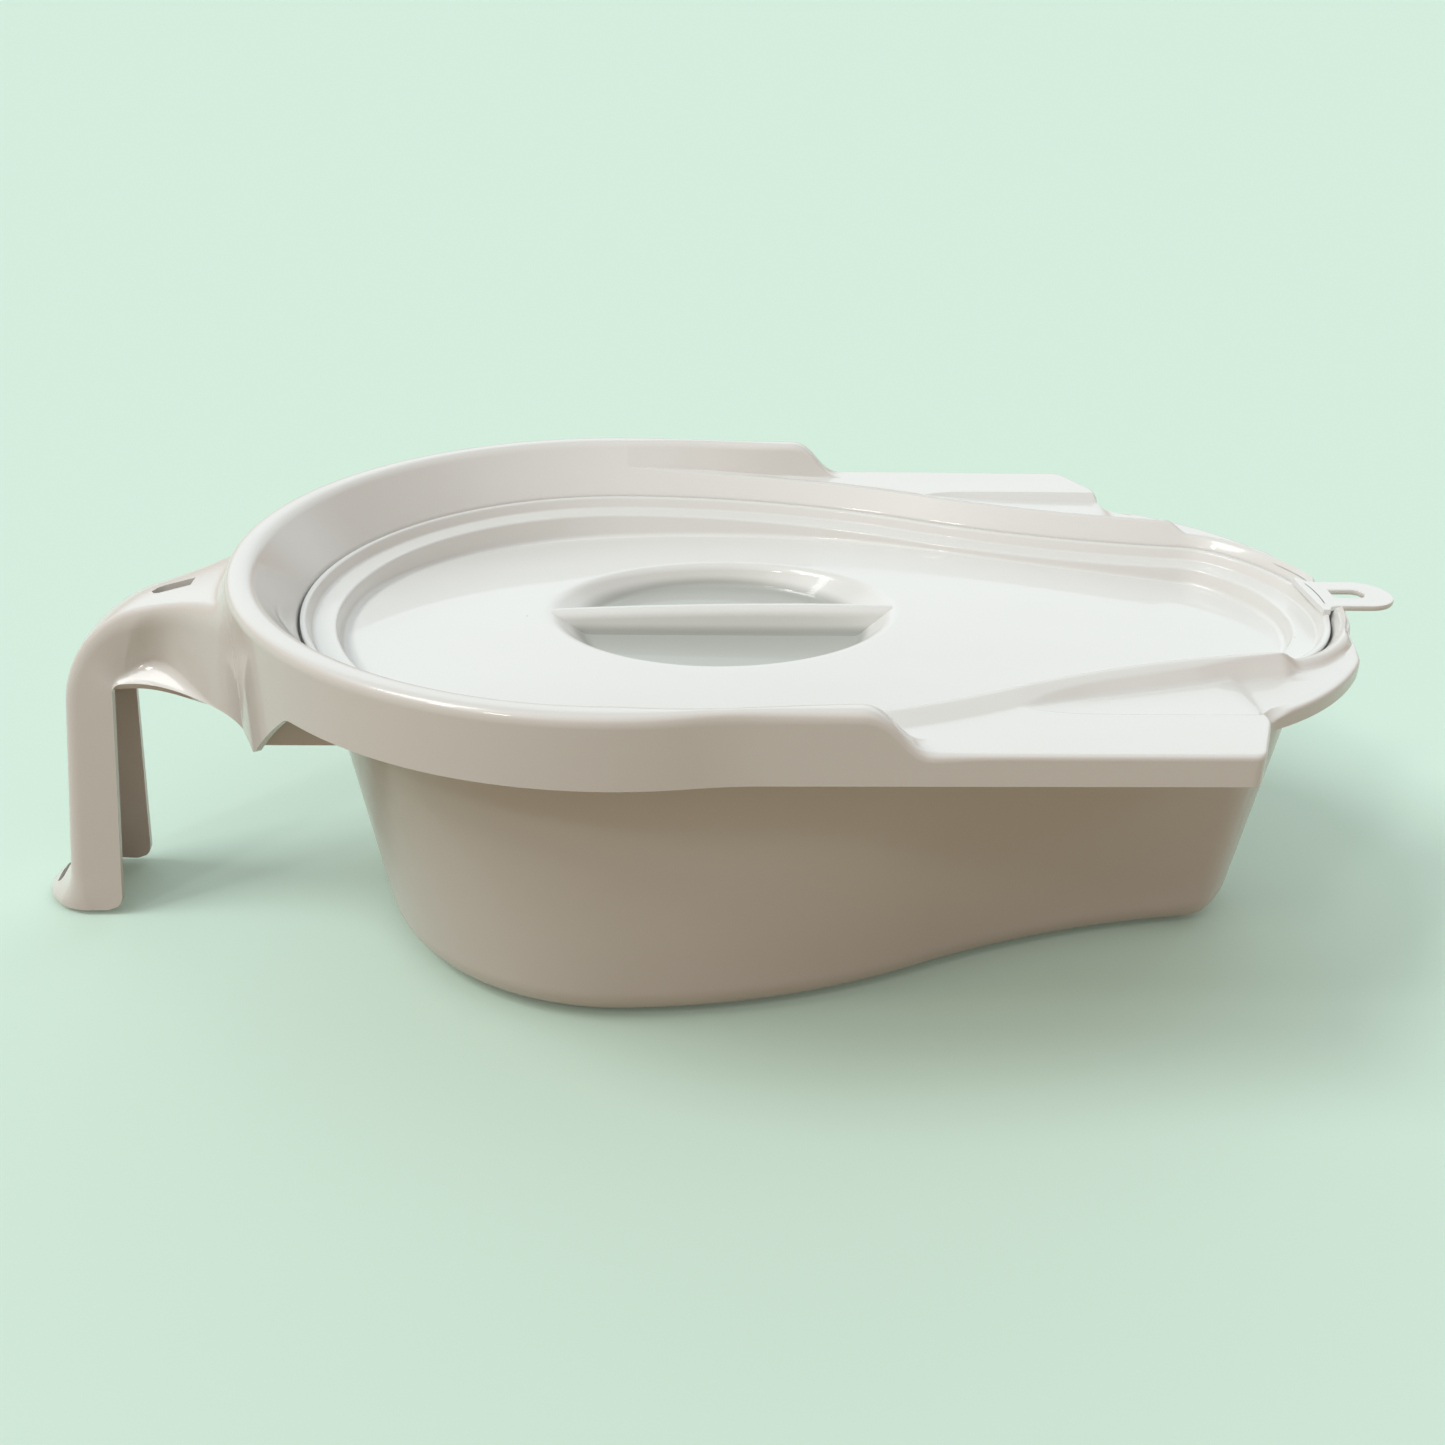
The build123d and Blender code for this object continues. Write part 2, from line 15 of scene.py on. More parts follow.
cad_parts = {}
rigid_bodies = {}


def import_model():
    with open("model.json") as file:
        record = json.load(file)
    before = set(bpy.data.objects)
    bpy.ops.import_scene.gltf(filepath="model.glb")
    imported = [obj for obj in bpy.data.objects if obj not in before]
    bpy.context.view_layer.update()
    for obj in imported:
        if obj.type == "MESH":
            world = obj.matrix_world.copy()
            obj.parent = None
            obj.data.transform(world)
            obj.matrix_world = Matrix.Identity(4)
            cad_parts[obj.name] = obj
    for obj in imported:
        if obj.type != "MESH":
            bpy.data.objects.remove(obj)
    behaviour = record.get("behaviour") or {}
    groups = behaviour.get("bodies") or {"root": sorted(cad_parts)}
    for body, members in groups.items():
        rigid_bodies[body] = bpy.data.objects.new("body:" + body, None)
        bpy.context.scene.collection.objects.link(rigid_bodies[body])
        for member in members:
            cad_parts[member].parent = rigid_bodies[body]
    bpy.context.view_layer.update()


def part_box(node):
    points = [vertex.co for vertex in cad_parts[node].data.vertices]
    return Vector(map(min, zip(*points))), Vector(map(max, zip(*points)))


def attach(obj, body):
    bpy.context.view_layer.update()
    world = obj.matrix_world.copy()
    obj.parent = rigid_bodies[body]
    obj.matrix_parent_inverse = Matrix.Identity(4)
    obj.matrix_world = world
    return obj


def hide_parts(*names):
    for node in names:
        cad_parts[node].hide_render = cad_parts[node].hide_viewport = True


for old in list(bpy.data.objects):
    bpy.data.objects.remove(old)
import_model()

# %% [markdown]
# ## Measures
# Lengths are in millimetres and angles in degrees, as on a drawing, unless they are multiplied by MM for
# Blender. The plan is drawn about the centre of the wide end. The part reaches from the foot's tip to the
# tab's tip, and its middle lies at the frame's origin, so the drawing moves along X by half their difference.

# %% Measures
MM = 0.001
TAB_TIP, FOOT_REACH = 318.5, 250.0
MIDDLE_X = (TAB_TIP - FOOT_REACH) / 2
WALL, LID_WALL = 2.5, 2.4
FLOOR_RAIL = 143.0              # height of the rails
RIM_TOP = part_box("pan")[1].z / MM
print("drawing moves by", round(-MIDDLE_X, 2), "rim top", round(RIM_TOP, 2))


def place(x, y, z):
    """A point of the drawing, in metres in the frame."""
    return Vector(((x - MIDDLE_X) * MM, y * MM, z * MM))


def direction(angle):
    """The plan direction at an angle from +X."""
    return Vector((cos(radians(angle)), sin(radians(angle))))


def limit(value, low, high):
    """The value, kept between low and high."""
    return max(low, min(high, value))


def ease(value, start, end):
    """0 before start, 1 after end, and a soft S between them."""
    t = limit((value - start) / (end - start), 0, 1)
    return t * t * (3 - 2 * t)


# %% [markdown]
# ## The keyhole
# Every ring of the pan and lid follows one outline at its own distance: a wide round end, a long flank, a
# hollow waist, a small shoulder and the nose. Tangent arcs stay tangent when they are offset, so a station on
# the outline is kept as its arc, how far round that arc it lies, and its side. Stations lie closer where the
# rim steps down, round the rail's corner and notch, and where the handle's sides run into the skirt, because
# more happens there.

# %% The keyhole's arcs and stations
ROUND, FLANK, WAIST, SHOULDER = 127.4, 304.0, 371.0, 29.7
TURNS = [180, 90, 64.3, 82.9, 47.3, 0]
BOWL_SHOULDER = 42.7            # shoulder of the ring that, set in by the bowl's lean, gives its foot


def keyhole_arcs(shoulder):
    """Centre and signed radius of each arc on the +Y side."""
    radii = [ROUND, FLANK, -WAIST, shoulder]
    centre, arcs = Vector((0, 0)), []
    for i, radius in enumerate(radii):
        if i:
            centre = centre + direction(TURNS[i]) * (radii[i - 1] - radius)
        arcs.append((centre.copy(), radius))
    nose = shoulder + centre.y / sin(radians(TURNS[4]))
    arcs.append((centre + direction(TURNS[4]) * (shoulder - nose), nose))
    return arcs


ARCS = {shoulder: keyhole_arcs(shoulder) for shoulder in (SHOULDER, BOWL_SHOULDER)}
NOSE_TIP = ARCS[SHOULDER][4][0].x + ARCS[SHOULDER][4][1]


def keyhole(station, grow, shoulder=SHOULDER):
    """Plan point of a station on the outline grown outwards by `grow`."""
    arc, part, side = station
    centre, radius = ARCS[shoulder][arc]
    point = centre + direction(TURNS[arc] + (TURNS[arc + 1] - TURNS[arc]) * part) * (radius + grow)
    return Vector((point.x, point.y * side))


COARSE, CLOSER = 4.2, 2.7       # distance between stations, and how much less it is in a fine zone
FINE_ZONES = [((55, 68), (104, 116)), ((165, 180), (264, 276)), ((-122, -119), (-92, -86))]


def spacing(x):
    """Distance between stations at x."""
    fine = sum(ease(x, *begin) * (1 - ease(x, *finish)) for begin, finish in FINE_ZONES)
    return COARSE - CLOSER * limit(fine, 0, 1)


SHORTEST = 0.3                  # the last station of an arc stays this far from the next arc's first


def keyhole_stations():
    """Stations once round the outline, from the handle's side past +Y to the nose and back."""
    upper = []
    for arc in range(5):
        length = abs(radians(TURNS[arc + 1] - TURNS[arc]) * ARCS[SHOULDER][arc][1])
        part = 0.0
        while part < 1 - SHORTEST / length:
            upper.append((arc, part, 1))
            part += spacing(keyhole((arc, part, 1), 0).x) / length
    tip = (4, 1.0, 1)
    return upper + [tip] + [(arc, part, -1) for arc, part, _ in reversed(upper[1:])]


STATIONS = keyhole_stations()
print("stations", len(STATIONS), "nose tip", round(NOSE_TIP, 2))

# %% [markdown]
# ## Skins
# A moulding is drawn here as rings. A circle is added with one vertex for each station, its loop is extruded
# once for each ring, and each new loop is set on its ring. It is what is done by hand with extrude and scale,
# with the places worked out. Corners of the section get a soft arc, so the light runs over every edge.

# %% Helpers for skins
def deselect():
    if bpy.context.object and bpy.context.object.mode != "OBJECT":
        bpy.ops.object.mode_set(mode="OBJECT")
    bpy.ops.object.select_all(action="DESELECT")


def activate(piece):
    deselect()
    piece.select_set(True)
    bpy.context.view_layer.objects.active = piece


ALMOST_HALF = 0.48              # two arcs on one side never meet


def soft_corners(corners):
    """Points along a section, from corners given as (point, tangent length, steps).

    The corner's arc starts at the tangent length from the point, and has that many steps. With 0 steps the
    point stays sharp, and with -1 it is left out and only gives the next corner its direction.
    """
    points = []
    for i, (at, reach, steps) in enumerate(corners):
        if steps < 0:
            continue
        if steps == 0:
            points.append(at)
            continue
        before, after = corners[i - 1][0] - at, corners[i + 1][0] - at
        back = before.normalized() * min(reach, before.length * ALMOST_HALF)
        on = after.normalized() * min(reach, after.length * ALMOST_HALF)
        for k in range(steps + 1):
            t = k / steps
            points.append(at + back * (1 - t) ** 2 + on * t ** 2)
    return points


def skin(name, rings):
    """Extrude a circle through the rings, each a list of places in the frame."""
    count = len(rings[0])
    deselect()
    bpy.ops.mesh.primitive_circle_add(vertices=count, radius=0.1)
    piece = bpy.context.object
    piece.name = piece.data.name = name
    bpy.ops.object.mode_set(mode="EDIT")
    bpy.ops.mesh.select_all(action="SELECT")
    for k, ring in enumerate(rings):
        if k:
            bpy.ops.mesh.extrude_edges_move()
        cage = bmesh.from_edit_mesh(piece.data)
        cage.verts.ensure_lookup_table()
        for vert, at in zip(cage.verts[-count:], ring):
            vert.co = at
    bmesh.update_edit_mesh(piece.data)
    bpy.ops.object.mode_set(mode="OBJECT")
    return piece


def modifier(piece, kind, **settings):
    """Add a modifier and apply it."""
    activate(piece)
    added = piece.modifiers.new(kind.title(), kind)
    for key, value in settings.items():
        setattr(added, key, value)
    bpy.ops.object.modifier_apply(modifier=added.name)


def cap_loop(piece, chosen):
    """Fill the boundary loop whose vertices pass the test `chosen`."""
    activate(piece)
    bpy.ops.object.mode_set(mode="EDIT")
    bpy.ops.mesh.select_mode(type="EDGE")
    bpy.ops.mesh.select_all(action="DESELECT")
    cage = bmesh.from_edit_mesh(piece.data)
    for edge in cage.edges:
        edge.select_set(edge.is_boundary and all(chosen(v.co) for v in edge.verts))
    bmesh.update_edit_mesh(piece.data)
    bpy.ops.mesh.edge_face_add()
    bpy.ops.object.mode_set(mode="OBJECT")


def recalculate(piece):
    """Turn every face of a piece outwards."""
    activate(piece)
    bpy.ops.object.mode_set(mode="EDIT")
    bpy.ops.mesh.select_all(action="SELECT")
    bpy.ops.mesh.normals_make_consistent(inside=False)
    bpy.ops.object.mode_set(mode="OBJECT")


def flip(piece):
    """Turn every face of a sheet over."""
    activate(piece)
    bpy.ops.object.mode_set(mode="EDIT")
    bpy.ops.mesh.select_all(action="SELECT")
    bpy.ops.mesh.flip_normals()
    bpy.ops.object.mode_set(mode="OBJECT")


def finish_piece(piece, body, smooth=35):
    activate(piece)
    bpy.ops.object.transform_apply(location=True, rotation=True, scale=True)
    bpy.ops.object.shade_smooth_by_angle(angle=radians(smooth))
    modifier(piece, "WEIGHTED_NORMAL", keep_sharp=True)
    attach(piece, body)
    print(piece.name, len(piece.data.vertices), "vertices", len(piece.data.polygons), "faces")


# %% [markdown]
# ## The pan's plan
# Round the wide end the rim is a circle. Beside the narrow end it runs into straight slide rails with slanted
# corners and square ends. Past them a thin flange goes round the nose, until the nose's own bead hides it.

# %% The pan's outer edge
RIM_RADIUS, RAIL_HALF, RIM_BLEND = 153.9, 150.0, 150.0
RAIL_CORNER, RAIL_END, RAIL_END_HALF = 213.0, 225.0, 121.0
FLANGE_CENTRE, FLANGE_RADIUS = 174.5, 123.0
FLANGE_FRONT, FRONT_RADIUS = 289.0, 244.0
BEAD_TOP, BEAD_OUT, BEAD_FOOT = 8.0, 6.8, 9.8   # distances of the nose bead's crest, outer side and foot
blend_x = sqrt((RIM_RADIUS + RIM_BLEND) ** 2 - (RAIL_HALF + RIM_BLEND) ** 2)


def inside_rim(point):
    """Whether a plan point on the +Y side lies inside the rim or the rail's side."""
    x, y = point
    touch_x = blend_x * RIM_RADIUS / (RIM_RADIUS + RIM_BLEND)
    if x < touch_x:
        return hypot(x, y) < RIM_RADIUS
    if x < blend_x:
        return hypot(x - blend_x, y - RAIL_HALF - RIM_BLEND) > RIM_BLEND
    return y < RAIL_HALF


def inside_flange(point):
    """Whether a plan point lies inside the flange round the nose."""
    x, y = point
    front = hypot(x - FLANGE_FRONT + FRONT_RADIUS, y) < FRONT_RADIUS
    return hypot(x - FLANGE_CENTRE, y) < FLANGE_RADIUS and front


def outward(station):
    """The outline's normal at a station."""
    return (keyhole(station, 1) - keyhole(station, 0)).normalized()


def reach_to(station, inside, low=0.0, high=90.0):
    """How far out along the station's normal a plan shape ends."""
    start, way = keyhole(station, 0), outward(station)
    start.y, way.y = start.y * station[2], way.y * station[2]
    for _ in range(28):
        middle = (low + high) / 2
        if inside(start + way * middle):
            low = middle
        else:
            high = middle
    return low


NOTCH_Y = sqrt(FLANGE_RADIUS ** 2 - (RAIL_END - FLANGE_CENTRE) ** 2)
# X of a station on the outline, and the point of the rail's corner, its end or the notch that it leads to.
CORNER_STOPS = [
    (168.0, None),
    (190.0, Vector((RAIL_CORNER, RAIL_HALF))),
    (212.0, Vector((RAIL_END, RAIL_END_HALF))),
    (218.0, Vector((RAIL_END + 0.6, RAIL_END_HALF - 6))),
    (226.0, Vector((RAIL_END + 4.5, NOTCH_Y - 1.2))),
    (246.0, None),
]


def sharp_path(x):
    """Point of the corner's path for a station at x: rail side, slanted corner, square end, then flange."""
    for (x0, p0), (x1, p1) in zip(CORNER_STOPS, CORNER_STOPS[1:]):
        if x0 <= x <= x1:
            t = (x - x0) / (x1 - x0)
            if p0 is None:
                start_x = CORNER_STOPS[0][0] + RAIL_SHIFT
                return Vector((start_x + (RAIL_CORNER - start_x) * t, RAIL_HALF))
            if p1 is None:
                turn0 = degrees(atan2(p0.y, p0.x - FLANGE_CENTRE))
                turn = turn0 + (FLANGE_TURN - turn0) * t
                return Vector((FLANGE_CENTRE, 0)) + direction(turn) * FLANGE_RADIUS
            return p0.lerp(p1, t)
    return None


CORNER_STEPS = (-2.6, -1.3, 0, 1.3, 2.6)     # the wider these are, the rounder the corners


def notch_path(x):
    """The same path with its corners rounded, as the mean of five points along it."""
    points = [sharp_path(x + step) for step in CORNER_STEPS]
    if sharp_path(x) is None or None in points:
        return sharp_path(x)
    return sum(points, Vector((0, 0))) / len(points)


def station_at(x):
    """The +Y station of the flank or waist nearest to x."""
    return min((s for s in STATIONS if s[2] > 0), key=lambda s: abs(keyhole(s, 0).x - x))


first, last = station_at(CORNER_STOPS[0][0]), station_at(CORNER_STOPS[-1][0])
RAIL_SHIFT = (keyhole(first, reach_to(first, inside_rim)) - keyhole(first, 0)).x
flange_hit = keyhole(last, reach_to(last, inside_flange))
FLANGE_TURN = degrees(atan2(flange_hit.y, flange_hit.x - FLANGE_CENTRE))


def outer_edge(station):
    """Plan point of the pan's outer edge for a station."""
    start = keyhole(station, 0)
    corner = notch_path(start.x) if station[0] in (2, 3) else None
    if corner is not None:
        return Vector((corner.x, corner.y * station[2]))
    if start.x < CORNER_STOPS[0][0]:
        return keyhole(station, reach_to(station, inside_rim))
    return keyhole(station, max(BEAD_OUT + 0.6, reach_to(station, inside_flange)))


print("rail shift", round(RAIL_SHIFT, 2), "flange turn", round(FLANGE_TURN, 2))

# %% [markdown]
# ## The pan's section
# From the bowl's floor the sheet climbs the wall, steps out over the ledge on which the lid sits, and rises
# up the seat and the sloping funnel. It crosses the ridge, the shelf and the rim, and turns down into the
# skirt. Heights on the top come from one function of the place, so a crease that runs across the rings still
# comes out right. Beside the waist each shelf has a scoop, and round the nose the ridge becomes a bead.

# %% Heights of the pan's top
SKIRT_BOTTOM, LEDGE, FUNNEL_FOOT = FLOOR_RAIL - 11.5, 129.4, 136.0
SEAT_GAP, MOUTH_INSET, BOWL_LEAN = 1.3, 7.5, tan(radians(9.95))
FUNNEL_SPREAD = tan(radians(35))
CREST_TOP, CREST_WIDTH = 145.75, 1.5
CREST = SEAT_GAP + (CREST_TOP - FUNNEL_FOOT) * FUNNEL_SPREAD + CREST_WIDTH
RIDGE_SLOPE, STEEPNESS = 9.4, 1.17
NOSE_TOP, FLANGE_TOP = FLOOR_RAIL - 2.0, FLOOR_RAIL - 5.0
SHELF_HALF, SHELF_START, SHELF_NOSE = 138.5, 35.0, 134.2
STEP_START, STEP_LENGTH = 80.0, 24.0
RAMP_LENGTH, RAMP_RISE = 90.0, 5.0
SCOOP_START, SCOOP_DEPTH, SCOOP_EDGE = 139.0, 3.5, 4.0
SCOOP_RUN, CREASE_RUN = 22.0, 8.0       # how soon the scoop gets its depth and its crease gets its place
SCOOP_TIP, SCOOP_HALF = 112.7, 119.0    # the crease beside the scoop starts and ends this far from the middle
SCOOP_INNER = [(139, 16.9), (150, 14.8), (165, 13.8), (190, 14.0), (210, 13.2), (230, 10.6), (243, 9.8)]
FLANGE_RAMP = 2.0                       # the rail's end falls to the flange over this far on each side
NOSE_START, NOSE_SLOPE = 244.0, 10.0    # the ridge turns into the nose's bead over this length
RAIL_LEAN, MORE_LEAN, MORE_END = 10.0, 23.0, 85.0       # lean of the wall at the rail, and how it grows


def rim_line(x):
    """Height of the rim's top, which falls to the rail in an S."""
    t = limit((x - STEP_START) / STEP_LENGTH, 0, 1)
    fall = 2 * t * t if t < 0.5 else 1 - 2 * (1 - t) ** 2
    return RIM_TOP + (FLOOR_RAIL - RIM_TOP) * fall


def shelf(x):
    """Height of the shelf and rail, which rise a little towards the wide end."""
    return FLOOR_RAIL + RAMP_RISE * max(0.0, 1 - x / RAMP_LENGTH)


def shelf_edge(x):
    """Half width of the shelf at the rail's height."""
    return SHELF_NOSE + (SHELF_HALF - SHELF_NOSE) * limit(x / SHELF_START, 0, 1)


def wall_lean(x):
    """Lean of the wall between shelf and rim, which grows out of the funnel's own lean."""
    return tan(radians(RAIL_LEAN + MORE_LEAN * (1 - ease(x, 0, MORE_END))))


def along_line(points, x):
    """Value at x of a line through (x, value) points."""
    for (x0, v0), (x1, v1) in zip(points, points[1:]):
        if x <= x1:
            return v0 + (v1 - v0) * limit((x - x0) / (x1 - x0), 0, 1)
    return points[-1][1]


def scoop_depth(x):
    """Depth of the scoop's floor under the rail."""
    return SCOOP_DEPTH * (1 - exp(-max(0.0, x - SCOOP_START) / SCOOP_RUN))


def scoop_lines(x):
    """Half widths of the scoop's floor and of the crease outside it."""
    crease = SCOOP_HALF - (SCOOP_HALF - SCOOP_TIP) * exp(-max(0.0, x - SCOOP_START) / CREASE_RUN)
    return crease - SCOOP_EDGE * scoop_depth(x) / SCOOP_DEPTH, crease


def ridge_height(grow):
    """Height of the ridge's gentle outer slope."""
    return CREST_TOP - max(0.0, grow - CREST) / RIDGE_SLOPE * (CREST_TOP - FLOOR_RAIL)


def top_height(x, y, grow):
    """Height of the pan's top outside the crest."""
    y = abs(y)
    gentle = ridge_height(grow)
    height = max(shelf(x), gentle)
    if x > SCOOP_START:
        start = along_line(SCOOP_INNER, x)
        edge_z = max(FLOOR_RAIL, ridge_height(start))
        steep = edge_z - (grow - start) * STEEPNESS
        floor_y, crease_y = scoop_lines(x)
        floor = FLOOR_RAIL - scoop_depth(x)
        rise = limit((y - floor_y) / max(crease_y - floor_y, 0.01), 0, 1)
        if grow > start and y < crease_y:
            height = max(floor + (FLOOR_RAIL - floor) * rise, steep)
        flat = FLANGE_TOP if x > RAIL_END - 3 else height
        height += (flat - height) * ease(x, RAIL_END - FLANGE_RAMP, RAIL_END + FLANGE_RAMP)
        nose = ease(x, NOSE_START, NOSE_START + NOSE_SLOPE)
        if grow > start:
            height = max(height, steep + (FLANGE_TOP - steep) * nose)
        else:
            height = max(height, gentle + (FLANGE_TOP - gentle) * nose)
    wall_y = shelf_edge(x)
    if y > wall_y:
        height = max(height, min(rim_line(x), FLOOR_RAIL + (y - wall_y) / wall_lean(x)))
    return height


# %% The skirt's lower edge
ARM_BOTTOM = FLOOR_RAIL - 40.0
GUSSET_TIP, GUSSET_END = 70.5, 99.0     # half widths at which a root's point is lowest and at which it ends
ARM_INSIDE, INNER_SLOPE = 55.0, 6.0     # between the arm's sides the edge rises again, over this length
TIP_DROP, TIP_ROUND, TIP_RISE, TIP_RUN, EDGE_ROUND = 1.0, 2.2, 1.6, 3.5, 1.5    # the point and its ends


def skirt_low(point):
    """Height of the skirt's lower edge, which is drawn down to a rounded point at each root of the handle."""
    if point.x > 0:
        return SKIRT_BOTTOM
    away = abs(point.y) - GUSSET_TIP
    if away > 0:
        slope = (SKIRT_BOTTOM - ARM_BOTTOM) / (GUSSET_END - GUSSET_TIP)
        round_tip = slope * TIP_ROUND
        low = ARM_BOTTOM - TIP_DROP + sqrt((slope * away) ** 2 + round_tip ** 2) - round_tip
    else:
        low = ARM_BOTTOM - TIP_DROP + TIP_RISE * ease(-away, 0, TIP_RUN)
        low += (SKIRT_BOTTOM - ARM_BOTTOM) * limit((ARM_INSIDE - abs(point.y)) / INNER_SLOPE, 0, 1)
    gap = SKIRT_BOTTOM - low
    return SKIRT_BOTTOM - (gap + sqrt(gap ** 2 + EDGE_ROUND ** 2)) / 2


# %% Distances along a section's path
BEND_GROW, GAP = 17.0, 0.06     # where a ring's path leaves the outline's normal; least distance of two rings


def path_point(station, edge, grow):
    """Plan point at a distance along a station's path: straight out at first, then to its outer edge."""
    if grow <= BEND_GROW:
        return keyhole(station, grow)
    bend = keyhole(station, BEND_GROW)
    return bend + (edge - bend).normalized() * (grow - BEND_GROW)


def path_length(station, edge):
    """Length of a station's path from the outline to the outer edge."""
    straight = (edge - keyhole(station, 0)).length
    if straight <= BEND_GROW:
        return straight
    return BEND_GROW + (edge - keyhole(station, BEND_GROW)).length


def spread(values, end):
    """The distances in order, at least GAP apart and before `end`."""
    kept = []
    for k, value in enumerate(values):
        low = kept[-1] + GAP if kept else 0.0
        kept.append(max(low, min(value, end - GAP * (len(values) - k))))
    return kept


def crossing(station, edge, reach, line):
    """Distance at which a station's path passes the half width line(x)."""
    low, high = 0.0, reach
    for _ in range(24):
        middle = (low + high) / 2
        point = path_point(station, edge, middle)
        if abs(point.y) < line(point.x):
            low = middle
        else:
            high = middle
    return low


# %% The section inside the crest
LEVEL_LIMIT = 148.0             # where the shelf is higher than the crest, the crest follows it up to here
SADDLE, SADDLE_HALF, SADDLE_SLOPE = 137.2, 13.9, 2.4    # the dip in the nose's bead, for the lid's tab


def bowl_corners(station):
    """Corners from the bowl's floor up its wall, over the ledge and up the seat to the funnel's foot."""
    def at(grow, z, shoulder=SHOULDER):
        point = keyhole(station, grow, shoulder)
        return place(point.x, point.y, z)

    foot = at(-MOUTH_INSET - (LEDGE - WALL) * BOWL_LEAN, WALL, BOWL_SHOULDER)
    mouth = at(-MOUTH_INSET, LEDGE)
    inward = at(0, 0) - at(-20, 0)
    corners = [(foot - inward, 0, -1), (foot, 12.2 * MM, 7)]
    corners += [(foot.lerp(mouth, t), 0, 0) for t in (0.35, 0.6, 0.85)]
    corners += [(mouth, 1.2 * MM, 2), (at(SEAT_GAP, LEDGE), 1.6 * MM, 3)]
    return corners + [(at(SEAT_GAP, FUNNEL_FOOT), 1.5 * MM, 2)]


def funnel(z):
    """Distance from the outline at which the funnel is z high."""
    return SEAT_GAP + (z - FUNNEL_FOOT) * FUNNEL_SPREAD


def crest_level(station, nose):
    """Height of the crest at the funnel's top."""
    level = CREST_TOP + (NOSE_TOP - CREST_TOP) * nose
    if nose == 0:
        level = min(LEVEL_LIMIT, max(level, shelf(keyhole(station, funnel(level)).x)))
    away = abs(keyhole(station, BEAD_OUT).y)
    if station[0] == 4 and away < SADDLE_HALF:
        level = SADDLE + (level - SADDLE) * ease(away, SADDLE_HALF - SADDLE_SLOPE, SADDLE_HALF)
    return level


# %% The section outside the crest
EDGE_INSET, NOSE_CLOSER, BEAD_ROOM = 4.8, 3.8, 5.5      # the last ring before the outer edge's rounding
BEAD_INSET, BEAD_SLOPE = 2.4, 2.4                       # the bead's room inside the edge, and its outer slope
SCOOP_MIDDLE, SCOOP_FROM, SCOOP_TO = 12.0, 110.0, NOSE_START - 4    # where its inner and outer lines are read
FLOOR_LEAST, CREASE_LEAST, GENTLE_ROOM = 17.9, 18.3, 1.5            # the outer lines elsewhere


def wall_line(x, z):
    """Half width of the wall between shelf and rim, at the height z."""
    return shelf_edge(x) + (z - FLOOR_RAIL) * wall_lean(x)


def wall_span(station, edge, reach, nose):
    """Distances at which the wall between shelf and rim starts and ends."""
    x = keyhole(station, 0).x
    if x >= STEP_START + STEP_LENGTH:
        inset = reach - EDGE_INSET + nose * max(0.0, min(NOSE_CLOSER, BEAD_FOOT + BEAD_ROOM - reach))
        return inset, inset
    foot = top = 0.0
    if x > 0:
        foot = crossing(station, edge, reach, lambda x: wall_line(x, shelf(x)))
        top = crossing(station, edge, reach, lambda x: wall_line(x, rim_line(x)))
    return foot, max(top, funnel(rim_line(keyhole(station, funnel(RIM_TOP)).x)))


def shelf_lines(station, edge, reach, nose):
    """Distances of the crest, the scoop's inner edge, slope and two outer lines, and the ridge's foot."""
    crest = CREST + (min(BEAD_TOP, reach - BEAD_INSET) - CREST) * nose
    scoop_edge = along_line(SCOOP_INNER, keyhole(station, SCOOP_MIDDLE).x)
    floor_edge, crease = FLOOR_LEAST, CREASE_LEAST
    if SCOOP_FROM < keyhole(station, 0).x < SCOOP_TO:
        floor_edge = max(floor_edge, crossing(station, edge, reach, lambda x: scoop_lines(x)[0]))
        crease = max(crease, crossing(station, edge, reach, lambda x: scoop_lines(x)[1]))
    edge_x = keyhole(station, scoop_edge).x
    fall = 2 + scoop_depth(edge_x) + 2 * ease(edge_x, RAIL_END - 4, RAIL_END + 3)
    steep = scoop_edge + (0.5 if edge_x < SCOOP_START else fall / STEEPNESS)
    scoop_edge += (BEAD_FOOT - scoop_edge) * nose
    steep += (BEAD_FOOT + BEAD_SLOPE - steep) * nose
    return [crest, scoop_edge, steep, floor_edge, crease, max(crest + RIDGE_SLOPE, crease + GENTLE_ROOM)]


# %% The section's outer edge
OUTER_ROUND, RAIL_ROUND, FLANGE_ROUND = 4.6, 2.0, 3.6
NOTCH_DIP, NOTCH_FROM, NOTCH_TO = 3.0, RAIL_END + 2, RAIL_END + 15     # the edge is lower in the notch


def edge_round(x, edge_x):
    """Rounding of the outer edge: wide on the rim, small on the rail, wider again on the flange."""
    rounding = RAIL_ROUND + (OUTER_ROUND - RAIL_ROUND) * (1 - ease(x, 70, 110))
    return rounding + (FLANGE_ROUND - RAIL_ROUND) * ease(edge_x, RAIL_END, RAIL_END + 5)


def edge_corners(edge, raised, rounding):
    """Corners from the outer edge's top down the skirt."""
    top = rim_line(edge.x) if raised else top_height(edge.x, edge.y, 99)
    if edge.x > RAIL_END:
        top -= NOTCH_DIP * (1 - ease(edge.x, NOTCH_FROM, NOTCH_TO))
    low = skirt_low(edge)
    return [(place(edge.x, edge.y, top), rounding * MM, 6),
            (place(edge.x, edge.y, low + 0.6 * (SKIRT_BOTTOM + 5 - low)), 0, 0),
            (place(edge.x, edge.y, low), 0, 0)]


